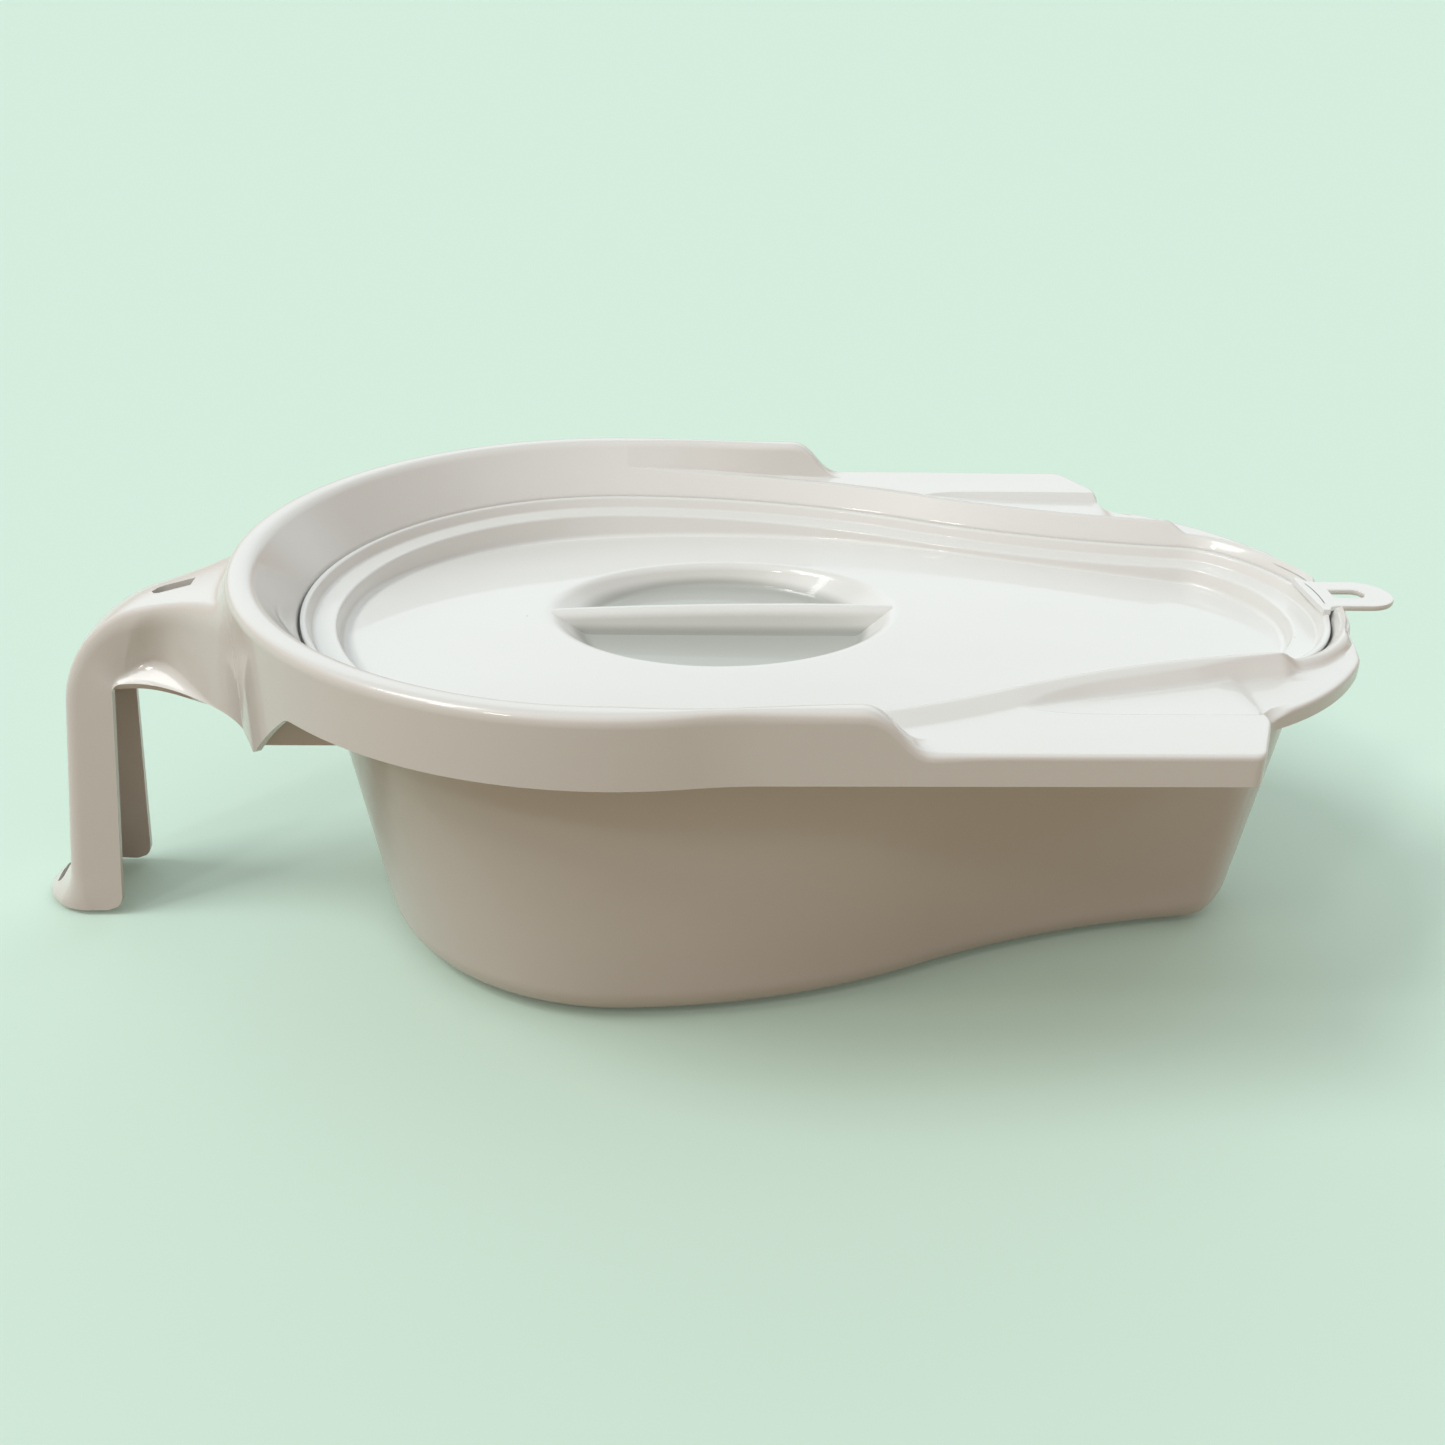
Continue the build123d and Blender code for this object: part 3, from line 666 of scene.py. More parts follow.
# %% One section of the pan
# Tangent length and steps of each corner between the funnel and the outer edge. The nose has the same steps,
# because a section with another number of points would break the rings.
SOFTNESS = [(1.2, 3), (1.0, 2), (0.8, 2), (1.8, 3), (1.5, 2), (1.2, 2), (1.5, 2), (1.2, 2), (3.4, 5)]
NOSE_SOFTNESS = [(1.8, 3), (2.4, 2), (1.6, 2), (0.8, 3)] + SOFTNESS[4:]
WALL_FOOT = 7                   # place of the wall's foot among these corners; the wall's top is the next


def pan_section(station):
    """Corners of the section at a station, from the bowl's floor to the lower edge of the skirt."""
    base, edge = keyhole(station, 0), outer_edge(station)
    reach = path_length(station, edge)
    nose = ease(keyhole(station, BEAD_OUT).x, NOSE_START, NOSE_START + NOSE_SLOPE)
    level = crest_level(station, nose)
    inside = funnel(level)
    wall_foot, wall_top = wall_span(station, edge, reach, nose)
    raised = base.x < STEP_START + STEP_LENGTH
    no_shelf = wall_foot < inside + GAP * (WALL_FOOT + 1)
    if no_shelf:
        grows = [inside + GAP * k for k in range(WALL_FOOT + 1)]
    else:
        grows = spread([inside] + shelf_lines(station, edge, reach, nose), wall_foot) + [wall_foot]
    rounding = edge_round(base.x, edge.x)
    grows = spread(grows + [wall_top], reach - min(rounding, reach * 0.1) * 0.4)

    corners = bowl_corners(station)
    for k, (grow, (reach_soft, steps)) in enumerate(zip(grows, NOSE_SOFTNESS if nose else SOFTNESS)):
        point = path_point(station, edge, grow)
        z = top_height(point.x, point.y, grow)
        if k < 2 and not no_shelf:
            z = max(level, shelf(point.x)) if nose == 0 else level
        if no_shelf and k <= WALL_FOOT:
            z = FUNNEL_FOOT + (grow - SEAT_GAP) / FUNNEL_SPREAD
        if raised and k > WALL_FOOT:
            z = rim_line(point.x)
        corners.append((place(point.x, point.y, z), reach_soft * MM, steps))
    return corners + edge_corners(edge, raised, rounding)


sections = [soft_corners(pan_section(station)) for station in STATIONS]
tallest = max(point.z for section in sections for point in section)
print("rings in the pan's sheet", {len(section) for section in sections}, "tallest", round(tallest, 4))

# %% Draw the pan's sheet
pan_shell = skin("pan_shell", [list(ring) for ring in zip(*sections)])
cap_loop(pan_shell, lambda co: co.z < (WALL + 2) * MM)
recalculate(pan_shell)
floor_faces = [face for face in pan_shell.data.polygons if face.area > 1e-3]
print("floor faces up:", all(face.normal.z > 0 for face in floor_faces), len(floor_faces))

# %% [markdown]
# ## Thickness
# The skin is one visible side of the moulding. Solidify gives it the moulding's wall away from that side, and
# a small bevel rounds the edges that the sheet then has, as the mould leaves them.

# %% Helpers for thickness
def bevel_edges(piece, width, chosen, angle=60):
    """Bevel the sharp edges whose two ends both pass the test `chosen`."""
    activate(piece)
    bpy.ops.object.mode_set(mode="EDIT")
    bpy.ops.mesh.select_mode(type="EDGE")
    bpy.ops.mesh.select_all(action="DESELECT")
    cage = bmesh.from_edit_mesh(piece.data)
    count = 0
    for edge in cage.edges:
        sharp = len(edge.link_faces) == 2 and edge.calc_face_angle() > radians(angle)
        edge.select_set(sharp and all(chosen(v.co) for v in edge.verts))
        count += edge.select
    bmesh.update_edit_mesh(piece.data)
    if count:
        bpy.ops.mesh.bevel(offset=width, segments=2, profile=0.5, clamp_overlap=True)
    bpy.ops.object.mode_set(mode="OBJECT")
    print(piece.name, "bevelled edges", count)


def plan_x(co):
    """The drawing's X, in millimetres, of a place in the frame."""
    return co.x / MM + MIDDLE_X


# %% Thickness of the pan's sheet
modifier(pan_shell, "SOLIDIFY", thickness=WALL * MM, offset=-1.0)
bevel_edges(pan_shell, 0.7 * MM,
            lambda co: co.z / MM < SKIRT_BOTTOM + 3 and co.z / MM > ARM_BOTTOM - 3
            and hypot(plan_x(co), co.y / MM) > 100 and plan_x(co) < 300)
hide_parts("pan")
finish_piece(pan_shell, "pan")

# %% [markdown]
# ## The handle
# The arm leaves the rim, falls a little and bends down into the leg, so the pan can be carried and stands on
# the floor. It is an open channel: a crowned top, rounded shoulders and two flat sides that spread into the
# rim. Where the hand goes, each side is pinched in above a small lip, and the foot ends in a round plan. A
# grid is bent to these lines: its rows are sections of the channel, along the arm, the bend and the leg.

# %% The handle's lines
HANDLE_HALF, HANDLE_DRAFT, HANDLE_WALL = 15.7, tan(radians(4)), 3.0
ARM_START, ARM_FALL, ARM_LENGTH, ARM_BEND = (-153.9, 147.0), 15.3, 37.5, 50.0
ARM_OVERLAP, INNER_START = 21.0, -134.0     # how far back in the rim the rows start; the inner edge's X there
ARM_ROWS, BEND_ROWS = 24, 16
LEG_SPLAY, LEG_INNER, INNER_SPLAY, INNER_ROUND = 6.5, -205.5, tan(radians(4.8)), 4.0
FLARE_START, ROOT_X, ROOT_HALF = -212.0, -137.0, 69.0
SHOULDER_ROUND, LEG_ROUND, CROWN = 12.5, 9.0, 1.3
LIP_FROM, LIP_LENGTH, LIP_HEIGHT, PINCH = -205.0, 47.0, 8.8, 8.0
FOOT_TIP, FOOT_RADIUS = -250.0, 23.0
FOOT_HEIGHT, FOOT_FULL = 15.0, 2.2          # the foot's plan gets round between these heights
HEEL_ROUND = 6.0                            # the inner edge curves back by this much at the floor


def half_width(x, z):
    """Half width of the arm and leg: it grows downwards with the draft, and spreads into the rim."""
    narrow = HANDLE_HALF + (ARM_BOTTOM - z) * HANDLE_DRAFT
    along = limit(x - FLARE_START, 0, ROOT_X - FLARE_START)
    rise, run = ROOT_HALF - narrow, ROOT_X - FLARE_START
    radius = (run ** 2 + rise ** 2) / (2 * rise)
    return narrow + radius - sqrt(radius ** 2 - along ** 2)


def handle_lines():
    """(outer point, inner point, outward direction) of each section, as (x, z) vectors."""
    fall, out = direction(180 + ARM_FALL), direction(90 + ARM_FALL)
    start, lines = Vector(ARM_START), []
    for k in range(ARM_ROWS):
        outer = start + fall * (-ARM_OVERLAP + (ARM_LENGTH + ARM_OVERLAP) * k / ARM_ROWS)
        inner_x = INNER_START + (LEG_INNER + INNER_ROUND - INNER_START) * k / ARM_ROWS
        lines.append((outer, Vector((inner_x, ARM_BOTTOM)), out))
    centre = start + fall * ARM_LENGTH - out * ARM_BEND
    corner = Vector((LEG_INNER + INNER_ROUND, ARM_BOTTOM - INNER_ROUND))
    for k in range(BEND_ROWS + 1):
        way = direction(90 + ARM_FALL + (90 - ARM_FALL - LEG_SPLAY) * k / BEND_ROWS)
        inner = corner + direction(90 + 90 * k / BEND_ROWS) * INNER_ROUND
        lines.append((centre + way * ARM_BEND, inner, way))
    knee, heel = lines[-1][0], lines[-1][1]
    # Down the leg the rows lie far apart at first, and closer where the foot starts to narrow.
    steps = [k / 14 for k in range(1, 12)] + [0.81 + 0.0175 * k for k in range(11)] + [1.0]
    for t in steps:
        outer_z, inner_z = knee.y * (1 - t), heel.y * (1 - t)
        outer = Vector((knee.x - (knee.y - outer_z) * tan(radians(LEG_SPLAY)), outer_z))
        inner = Vector((heel.x - (heel.y - inner_z) * INNER_SPLAY, inner_z))
        if inner_z < HEEL_ROUND:
            inner.x -= HEEL_ROUND - sqrt(HEEL_ROUND ** 2 - (HEEL_ROUND - inner_z) ** 2)
        lines.append((outer, inner, direction(180 - LEG_SPLAY)))
    return lines


def lip(x):
    """How far the pinch above the lip has grown at x, from 0 to 1."""
    t = limit((x - LIP_FROM) / LIP_LENGTH, 0, 1)
    return sin(pi * t ** 0.62) ** 1.6 if 0 < t < 1 else 0.0


def fillet_rise(x, y, radius=6.0):
    """Rise of the arm's top into the rim, at a plan distance from the rim's outer face."""
    away = limit(hypot(x, y) - RIM_RADIUS, 0, radius)
    return radius - sqrt(radius ** 2 - (radius - away) ** 2)


CROWN_SHARES, SHOULDER_STEPS = (0.0, 0.3, 0.55), 10
OUTER_POINTS = len(CROWN_SHARES) + SHOULDER_STEPS + 1   # points of a half section before its flat side


def handle_section(outer, inner, out):
    """Half a section, from the middle of the outer face over the shoulder to the inner edge."""
    down, on_arm = inner - outer, out.y > 0.5
    depth = down.length
    reach = SHOULDER_ROUND + (LEG_ROUND - SHOULDER_ROUND) * ease(-outer.x, 190, 226)
    pinched = lip(inner.x) if inner.y > ARM_BOTTOM - 1 or on_arm else 0.0

    def side(share, narrower=0.0):
        at = outer + down * share
        return Vector((at.x, half_width(at.x, at.y) - narrower, at.y))

    top = half_width(outer.x, outer.y)
    corners = []
    for share in CROWN_SHARES:
        at = outer - out * CROWN * share ** 2
        corners.append((Vector((at.x, top * share, at.y)), 0, 0))
    at = outer - out * CROWN
    corners.append((Vector((at.x, top, at.y)), reach, SHOULDER_STEPS))
    rise, narrower, edge = LIP_HEIGHT * pinched, PINCH * pinched, 1.8 * pinched
    corners.append((side(0.6, 0.7 * narrower), 0, 0))
    corners.append((side(1 - (rise + 0.5) / depth, narrower), 0.9, 2))
    corners.append((side(1 - (edge + 0.35 * (rise - edge) + 0.3) / depth, 0.62 * narrower), 0, 0))
    corners.append((side(1 - edge / depth), 0, 0))
    points = soft_corners(corners)
    for k, point in enumerate(points[:OUTER_POINTS]):
        if outer.x > -190:
            upward = cos(radians(90) * limit((k - len(CROWN_SHARES)) / SHOULDER_STEPS, 0, 1))
            point.z += fillet_rise(point.x, point.y) * upward
        if outer.y < FOOT_HEIGHT:
            across = FOOT_RADIUS * limit(point.y / top, 0, 1)
            ring = Vector((FOOT_TIP + FOOT_RADIUS - sqrt(FOOT_RADIUS ** 2 - across ** 2), across, point.z))
            above = max(0.0, outer.y - FOOT_FULL) / (FOOT_HEIGHT - FOOT_FULL)
            points[k] = point.lerp(ring, (1 - above) ** 1.4)
    return points


# %% Draw the handle's sheet
def bent_grid(name, rows):
    """A grid whose rows of vertices are set on the given places."""
    deselect()
    bpy.ops.mesh.primitive_grid_add(x_subdivisions=len(rows[0]) - 1, y_subdivisions=len(rows) - 1, size=0.1)
    piece = bpy.context.object
    piece.name = piece.data.name = name
    for vert, at in zip(piece.data.vertices, (at for row in rows for at in row)):
        vert.co = at
    return piece


def start_at_rim(columns, rows=24, radius=RIM_RADIUS - 1.4):
    """Spread the first rows of each column again, so that it begins inside the rim's outer wall."""
    for column in columns:
        old = [p.copy() for p in column[:rows + 1]]
        begin = next((k for k, p in enumerate(old) if hypot(p.x, p.y) > radius), 0)
        if begin:
            gone, kept = (hypot(p.x, p.y) for p in old[begin - 1:begin + 1])
            begin += (radius - kept) / (kept - gone)
        for k in range(rows):
            at = begin + (rows - begin) * k / rows
            step = min(int(at), rows - 1)
            column[k] = old[step].lerp(old[step + 1], at - step)
    return columns


halves = [handle_section(*line) for line in handle_lines()]
halves = list(zip(*start_at_rim([list(column) for column in zip(*halves)])))
handle_rows = []
for half in halves:
    whole = [Vector((p.x, -p.y, p.z)) for p in reversed(half[1:])] + list(half)
    handle_rows.append([place(*p) for p in whole])
pan_handle = bent_grid("pan_handle", handle_rows)
print("handle rows", len(handle_rows), "across", len(handle_rows[0]), "grid", len(pan_handle.data.vertices))
top_face = min(pan_handle.data.polygons, key=lambda face: (face.center - place(-180, 0, 140)).length)
if top_face.normal.z < 0:
    flip(pan_handle)
modifier(pan_handle, "SOLIDIFY", thickness=HANDLE_WALL * MM, offset=-1.0)

# %% [markdown]
# ## The handle's slots and ribs
# The arm has a small slot to hang the pan by, and the foot has a drain slot. A prism with the slot's outline
# is taken out of the channel with a boolean, because the sheet is curved there and its faces don't line up
# with the slot.

# %% Slots
def prism(name, outline, low, high):
    """Upright prism from a closed plan outline."""
    deselect()
    bpy.ops.mesh.primitive_circle_add(vertices=len(outline), radius=0.01, fill_type="NGON")
    piece = bpy.context.object
    piece.name = piece.data.name = name
    for vert, (x, y) in zip(piece.data.vertices, outline):
        vert.co = place(x, y, low)
    bpy.ops.object.mode_set(mode="EDIT")
    bpy.ops.mesh.select_all(action="SELECT")
    bpy.ops.mesh.extrude_region_move(TRANSFORM_OT_translate={"value": (0, 0, (high - low) * MM)})
    bpy.ops.object.mode_set(mode="OBJECT")
    recalculate(piece)
    return piece


def cut(piece, tool):
    """Take the tool's shape out of the piece."""
    modifier(piece, "BOOLEAN", object=tool, operation="DIFFERENCE", solver="EXACT")
    bpy.data.objects.remove(tool)


ABOVE_ARM, DRAIN_LOW, DRAIN_HIGH = 170, -3, 12      # the slots' prisms reach past the sheet at both ends
DRAIN_X, DRAIN_HALF, DRAIN_ROUND = -243.5 - 0.5, 6.5, 1.6
arm_slot = [(-172, -4), (-172, 4), (-185, 4), (-187.4, 2.9), (-189, 0), (-187.4, -2.9), (-185, -4)]
cut(pan_handle, prism("arm_slot", arm_slot, ARM_BOTTOM, ABOVE_ARM))
foot_slot = [(DRAIN_X + DRAIN_ROUND * sin(radians(a)), DRAIN_HALF + DRAIN_ROUND * cos(radians(a)))
             for a in range(-90, 91, 30)]
foot_slot += [(x, -y) for x, y in reversed(foot_slot)]
cut(pan_handle, prism("foot_slot", foot_slot, DRAIN_LOW, DRAIN_HIGH))
bevel_edges(pan_handle, 0.6 * MM, lambda co: plan_x(co) < -150, angle=50)


# %% [markdown]
# Under the rim, a rib carries each side of the channel on to the bowl. It is a small grid that ends on the
# bowl's leaning wall, made as thick as the channel and joined to it.

# %% Ribs
RIB_START = -136.4              # X at which the ribs start, just inside the channel's root


def rib_rows(side):
    """Rows of places from the channel's side to the bowl's wall."""
    rows = []
    y = ROOT_HALF - 0.4
    heights = [ARM_BOTTOM + 0.4, (ARM_BOTTOM + LEDGE) / 2, LEDGE - 0.8]
    for share in (0, 0.35, 0.7, 1):
        row = []
        for z in heights:
            bowl_radius = ROUND - MOUTH_INSET + 1.2 - (LEDGE - z) * BOWL_LEAN
            end = -sqrt(bowl_radius ** 2 - y ** 2)
            row.append(place(RIB_START + (end - RIB_START) * share, side * y, z))
        rows.append(row)
    return rows


ribs = []
for side in (1, -1):
    rib = bent_grid("rib", rib_rows(side))
    if rib.data.polygons[0].normal.y * side < 0:
        flip(rib)
    modifier(rib, "SOLIDIFY", thickness=HANDLE_WALL * MM, offset=-1.0)
    bevel_edges(rib, 0.5 * MM, lambda co: co.z / MM < ARM_BOTTOM + 2, angle=50)
    ribs.append(rib)
activate(pan_handle)
for rib in ribs:
    rib.select_set(True)
bpy.ops.object.join()
finish_piece(pan_handle, "pan")


# %% [markdown]
# ## The lid
# The lid is a thin panel, gently domed both ways, inside a stepped border that lies on the pan's ledge. An
# oval finger recess is drawn into it, and the fingers hold a round-topped fin that runs through the recess.
# The same stations are used, so the rings go from the recess's floor out over the edge and back underneath.
# At the nose the border's lip rises to meet the tab.

# %% Heights and outlines of the lid
LIP_TOP, RING_TOP = FLOOR_RAIL - 6.4, FLOOR_RAIL - 11.2
LIP_WIDTH, LIP_OUT, BORDER, RING_INSET, PANEL_INSET, PANEL_DEPTH = 2.0, 0.4, 4.0, 13.4, 17.6, 20.0
DOME_TOP, DOME_X, DOME_LONG, DOME_CROSS = FLOOR_RAIL - 9.3, 80.0, 2000.0, 590.0
RECESS_X, RECESS_LENGTH, RECESS_WIDTH = 40.6, 139.5, 106.0
RECESS_FLOOR_LENGTH, RECESS_FLOOR_WIDTH, RECESS_DEPTH = 112.0, 98.0, 12.0
TAB_TOP, TAB_HALF, TAB_NECK = FLOOR_RAIL - 3.0, 13.5, 4.0
FULL_LIP, LOW_LIP = 12.5, 21.0  # half widths between which the lip falls from the tab's height to its own


def dome(x, y):
    """Height of the panel's top."""
    along = DOME_LONG - sqrt(DOME_LONG ** 2 - (x - DOME_X) ** 2)
    return DOME_TOP - along - DOME_CROSS + sqrt(DOME_CROSS ** 2 - y ** 2)


def oval(station, length, width):
    """Plan point of an oval about the recess's middle, in the direction of the station."""
    toward = keyhole(station, -PANEL_INSET) - Vector((RECESS_X, 0))
    turn = atan2(toward.y / RECESS_WIDTH, toward.x / RECESS_LENGTH)
    return Vector((RECESS_X + length / 2 * cos(turn), width / 2 * sin(turn)))


def panel_edge(station, wall):
    """Where the panel meets the border's wall; `wall` is 0 for its top and LID_WALL for its underside."""
    grow = -PANEL_INSET
    for _ in range(6):
        point = keyhole(station, grow)
        drop = RING_TOP - dome(point.x, point.y) + wall
        grow = wall - RING_INSET - (PANEL_INSET - RING_INSET) * drop / PANEL_DEPTH
    return keyhole(station, grow)


def lid_section(station):
    """Corners from the middle of the recess's floor out over the lid's edge and back underneath."""
    def at(grow, z):
        point = keyhole(station, grow)
        return place(point.x, point.y, z)

    corners = []
    lip_y = abs(keyhole(station, 0).y)
    lip_top = LIP_TOP + (TAB_TOP - LIP_TOP) * (1 - ease(lip_y, FULL_LIP, LOW_LIP)) * (station[0] == 4)
    for wall in (0.0, LID_WALL):
        floor_z = DOME_TOP - RECESS_DEPTH - wall
        middle = oval(station, RECESS_FLOOR_LENGTH * 0.6, RECESS_FLOOR_WIDTH * 0.6)
        foot = oval(station, RECESS_FLOOR_LENGTH + 2 * wall, RECESS_FLOOR_WIDTH + 2 * wall)
        mouth = oval(station, RECESS_LENGTH + 2 * wall, RECESS_WIDTH + 2 * wall)
        edge = panel_edge(station, wall)
        side = [(place(middle.x, middle.y, floor_z), 0, 0), (place(foot.x, foot.y, floor_z), 2.0 * MM, 3)]
        side.append((place(mouth.x, mouth.y, dome(mouth.x, mouth.y) - wall), 3.2 * MM, 5))
        for k in range(1, 9):
            point = mouth.lerp(edge, k / 9)
            side.append((place(point.x, point.y, dome(point.x, point.y) - wall), 0, 0))
        side.append((place(edge.x, edge.y, dome(edge.x, edge.y) - wall), 2.4 * MM, 4))
        side.append((at(wall - RING_INSET, RING_TOP - wall), 1.2 * MM, 3))
        if wall == 0:
            side.append((at(-BORDER, RING_TOP), 1.0 * MM, 3))
            side.append((at(-LIP_WIDTH, lip_top), 0.9 * MM, 3))
            side.append((at(LIP_OUT, lip_top), 1.3 * MM, 4))
        else:
            side.append((at(LID_WALL - BORDER, RING_TOP - wall), 0.8 * MM, 2))
            side.append((at(LID_WALL - BORDER, lip_top - wall), 0.1 * MM, 1))
            side.append((at(LIP_OUT, lip_top - wall), 0.9 * MM, 2))
        corners += side if wall == 0 else side[::-1]
    return corners


lid_sections = [soft_corners(lid_section(station)) for station in STATIONS]
print("rings round the lid", len(lid_sections[0]))

# %% Draw the lid's panel
lid_panel = skin("lid_panel", [list(ring) for ring in zip(*lid_sections)])
cap_loop(lid_panel, lambda co: True)
recalculate(lid_panel)
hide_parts("lid")
finish_piece(lid_panel, "lid")

# %% [markdown]
# ## The fin
# The fin is a bar with a full round top, level with the panel, whose ends run into the recess's walls. It is
# a loop with the bar's section, extruded along the lid so that its top follows the dome.

# %% The fin
FIN_HALF, FIN_PARTS = 4.0, 40
FIN_FOOT = [(1.2, 0), (0.5, 2.2), (0.2, 4)]     # how far the foot stands out, at which height above its base


def fin_ring(x):
    """One section of the fin at x: a half round on two sides that spread a little at the foot."""
    top = dome(x, 0) - FIN_HALF
    low = DOME_TOP - RECESS_DEPTH - 1
    points = [(-FIN_HALF - out, low + up) for out, up in FIN_FOOT]
    points += [(-FIN_HALF * cos(radians(a)), top + FIN_HALF * sin(radians(a))) for a in range(0, 181, 12)]
    points += [(FIN_HALF + out, low + up) for out, up in reversed(FIN_FOOT)]
    return [place(x, y, z) for y, z in points]


fin_low, fin_high = RECESS_X - RECESS_LENGTH / 2, RECESS_X + RECESS_LENGTH / 2
fin_stops = [fin_low + (fin_high - fin_low) * k / FIN_PARTS for k in range(FIN_PARTS + 1)]
lid_fin = skin("lid_fin", [fin_ring(x) for x in fin_stops])
cap_loop(lid_fin, lambda co: True)
recalculate(lid_fin)
finish_piece(lid_fin, "lid")

# %% [markdown]
# ## The tab
# A flat tab stands out over the nose, with a rounded end and a slot to hang the lid by. Its neck runs into
# the lid's edge with a small hollow on each side. It is an outline, extruded by the lid's wall, cut and
# bevelled.

# %% The tab
NECK_OVERLAP, TAB_OVERLAP = 1.2, 4.5    # how far the hollows and the tab itself start inside the lid's edge
TAB_SLOT_HALF = 4.25


def tab_outline():
    """The tab's outline: hollow neck, straight side, round tip, and back on the other side."""
    neck = Vector((NOSE_TIP - NECK_OVERLAP + TAB_NECK, TAB_HALF + TAB_NECK))
    half = [Vector((NOSE_TIP - TAB_OVERLAP, TAB_HALF + TAB_NECK))]
    half += [neck + direction(a) * TAB_NECK for a in range(180, 271, 15)]
    end = Vector((TAB_TIP - TAB_HALF, 0))
    half += [end + direction(a) * TAB_HALF for a in range(90, 0, -6)]
    tip = end + direction(0) * TAB_HALF
    return [tuple(p) for p in half] + [tuple(tip)] + [(p.x, -p.y) for p in reversed(half)]


lid_tab = prism("lid_tab", tab_outline(), TAB_TOP - LID_WALL, TAB_TOP)
tab_slot = [(293, -TAB_SLOT_HALF), (293, TAB_SLOT_HALF), (303.5, TAB_SLOT_HALF), (305.6, 3.2), (307, 0),
            (305.6, -3.2), (303.5, -TAB_SLOT_HALF)]
cut(lid_tab, prism("tab_slot", tab_slot, TAB_TOP - 6, TAB_TOP + 3))
bevel_edges(lid_tab, 0.7 * MM, lambda co: plan_x(co) > NOSE_TIP - 3, angle=50)
finish_piece(lid_tab, "lid")

# %% [markdown]
# ## Half-glossy polypropylene
# The moulding is one colour right through, under a glossy skin. Up close it is not a mirror: the mould leaves
# a fine orange peel, the melt leaves faint cloudy flow marks, and here and there is a tiny darker speck. The
# floor of the finger recess gets a painted shade: its colour is darker there, for the shade in the recess.
# Sums on these patterns are written as plain expressions, and a small class turns each into its Math node.

# %% Sums on sockets
class Signal:
    """A socket that can stand in an expression."""

    def __init__(self, recipe, socket):
        self.recipe, self.socket = recipe, socket

    def sum(self, operation, first, second):
        return self.recipe.node("ShaderNodeMath", {"operation": operation}, {0: first, 1: second})

    def __add__(self, other):
        return self.sum("ADD", self, other)

    def __radd__(self, other):
        return self.sum("ADD", other, self)

    def __sub__(self, other):
        return self.sum("SUBTRACT", self, other)

    def __rsub__(self, other):
        return self.sum("SUBTRACT", other, self)

    def __mul__(self, other):
        return self.sum("MULTIPLY", self, other)

    def __rmul__(self, other):
        return self.sum("MULTIPLY", other, self)

    def __lt__(self, other):
        return self.sum("LESS_THAN", self, other)

    def __gt__(self, other):
        return self.sum("GREATER_THAN", self, other)


class Recipe:
    """A node tree that is written from left to right."""

    def __init__(self, owner):
        owner.use_nodes = True
        self.tree = owner.node_tree
        self.tree.nodes.clear()

    def node(self, kind, settings, sockets, output=0):
        """Add a node: its settings first, then the values or links of its sockets."""
        made = self.tree.nodes.new(kind)
        for key, value in settings.items():
            setattr(made, key, value)
        for key, value in sockets.items():
            if isinstance(value, Signal):
                self.tree.links.new(value.socket, made.inputs[key])
            else:
                made.inputs[key].default_value = value
        return Signal(self, made.outputs[output]) if len(made.outputs) else made

    def blend(self, share, first, second):
        """Mix two colours: all of the first at 0, all of the second at 1."""
        return self.node("ShaderNodeMix", {"data_type": "RGBA"}, {0: share, 6: first, 7: second}, 2)


# %% The recess's painted shade
# Painted shade: the darker grey that the floor of the finger recess is painted with, for the shade in the
# recess.
RECESS_SHADE_GREY = (0.50, 0.52, 0.49, 1)
FADE_FROM, FADE_TO = 5.0, 1.0   # the painted shade comes in between these heights above the recess's floor


def recess_shade_mask(recipe, spot):
    """Mask of the painted shade: 1 on the floor of the finger recess, and soft up its wall."""
    oval_place = spot
    for operation, sizes in (("SUBTRACT", place(RECESS_X, 0, 0)),
                             ("DIVIDE", (RECESS_LENGTH / 2 * MM, RECESS_WIDTH / 2 * MM, 1.0)),
                             ("MULTIPLY", (1, 1, 0))):
        oval_place = recipe.node("ShaderNodeVectorMath", {"operation": operation}, {0: oval_place, 1: sizes})
    away = recipe.node("ShaderNodeVectorMath", {"operation": "LENGTH"}, {0: oval_place}, "Value")
    height = recipe.node("ShaderNodeSeparateXYZ", {}, {"Vector": spot}, "Z")
    floor_z = DOME_TOP - RECESS_DEPTH
    depth = recipe.node("ShaderNodeMapRange", {"interpolation_type": "SMOOTHSTEP"}, {
        "Value": height, 1: (floor_z + FADE_FROM) * MM, 2: (floor_z + FADE_TO) * MM})
    return depth * (away < 1.02)


# %% The plastic
SPECK = (0.30, 0.24, 0.18, 1)


def noise(recipe, place_in_space, scale, detail=2.0):
    """Noise on Object coordinates; the scale is waves in a metre."""
    return recipe.node("ShaderNodeTexNoise", {}, {"Vector": place_in_space, "Scale": scale, "Detail": detail})


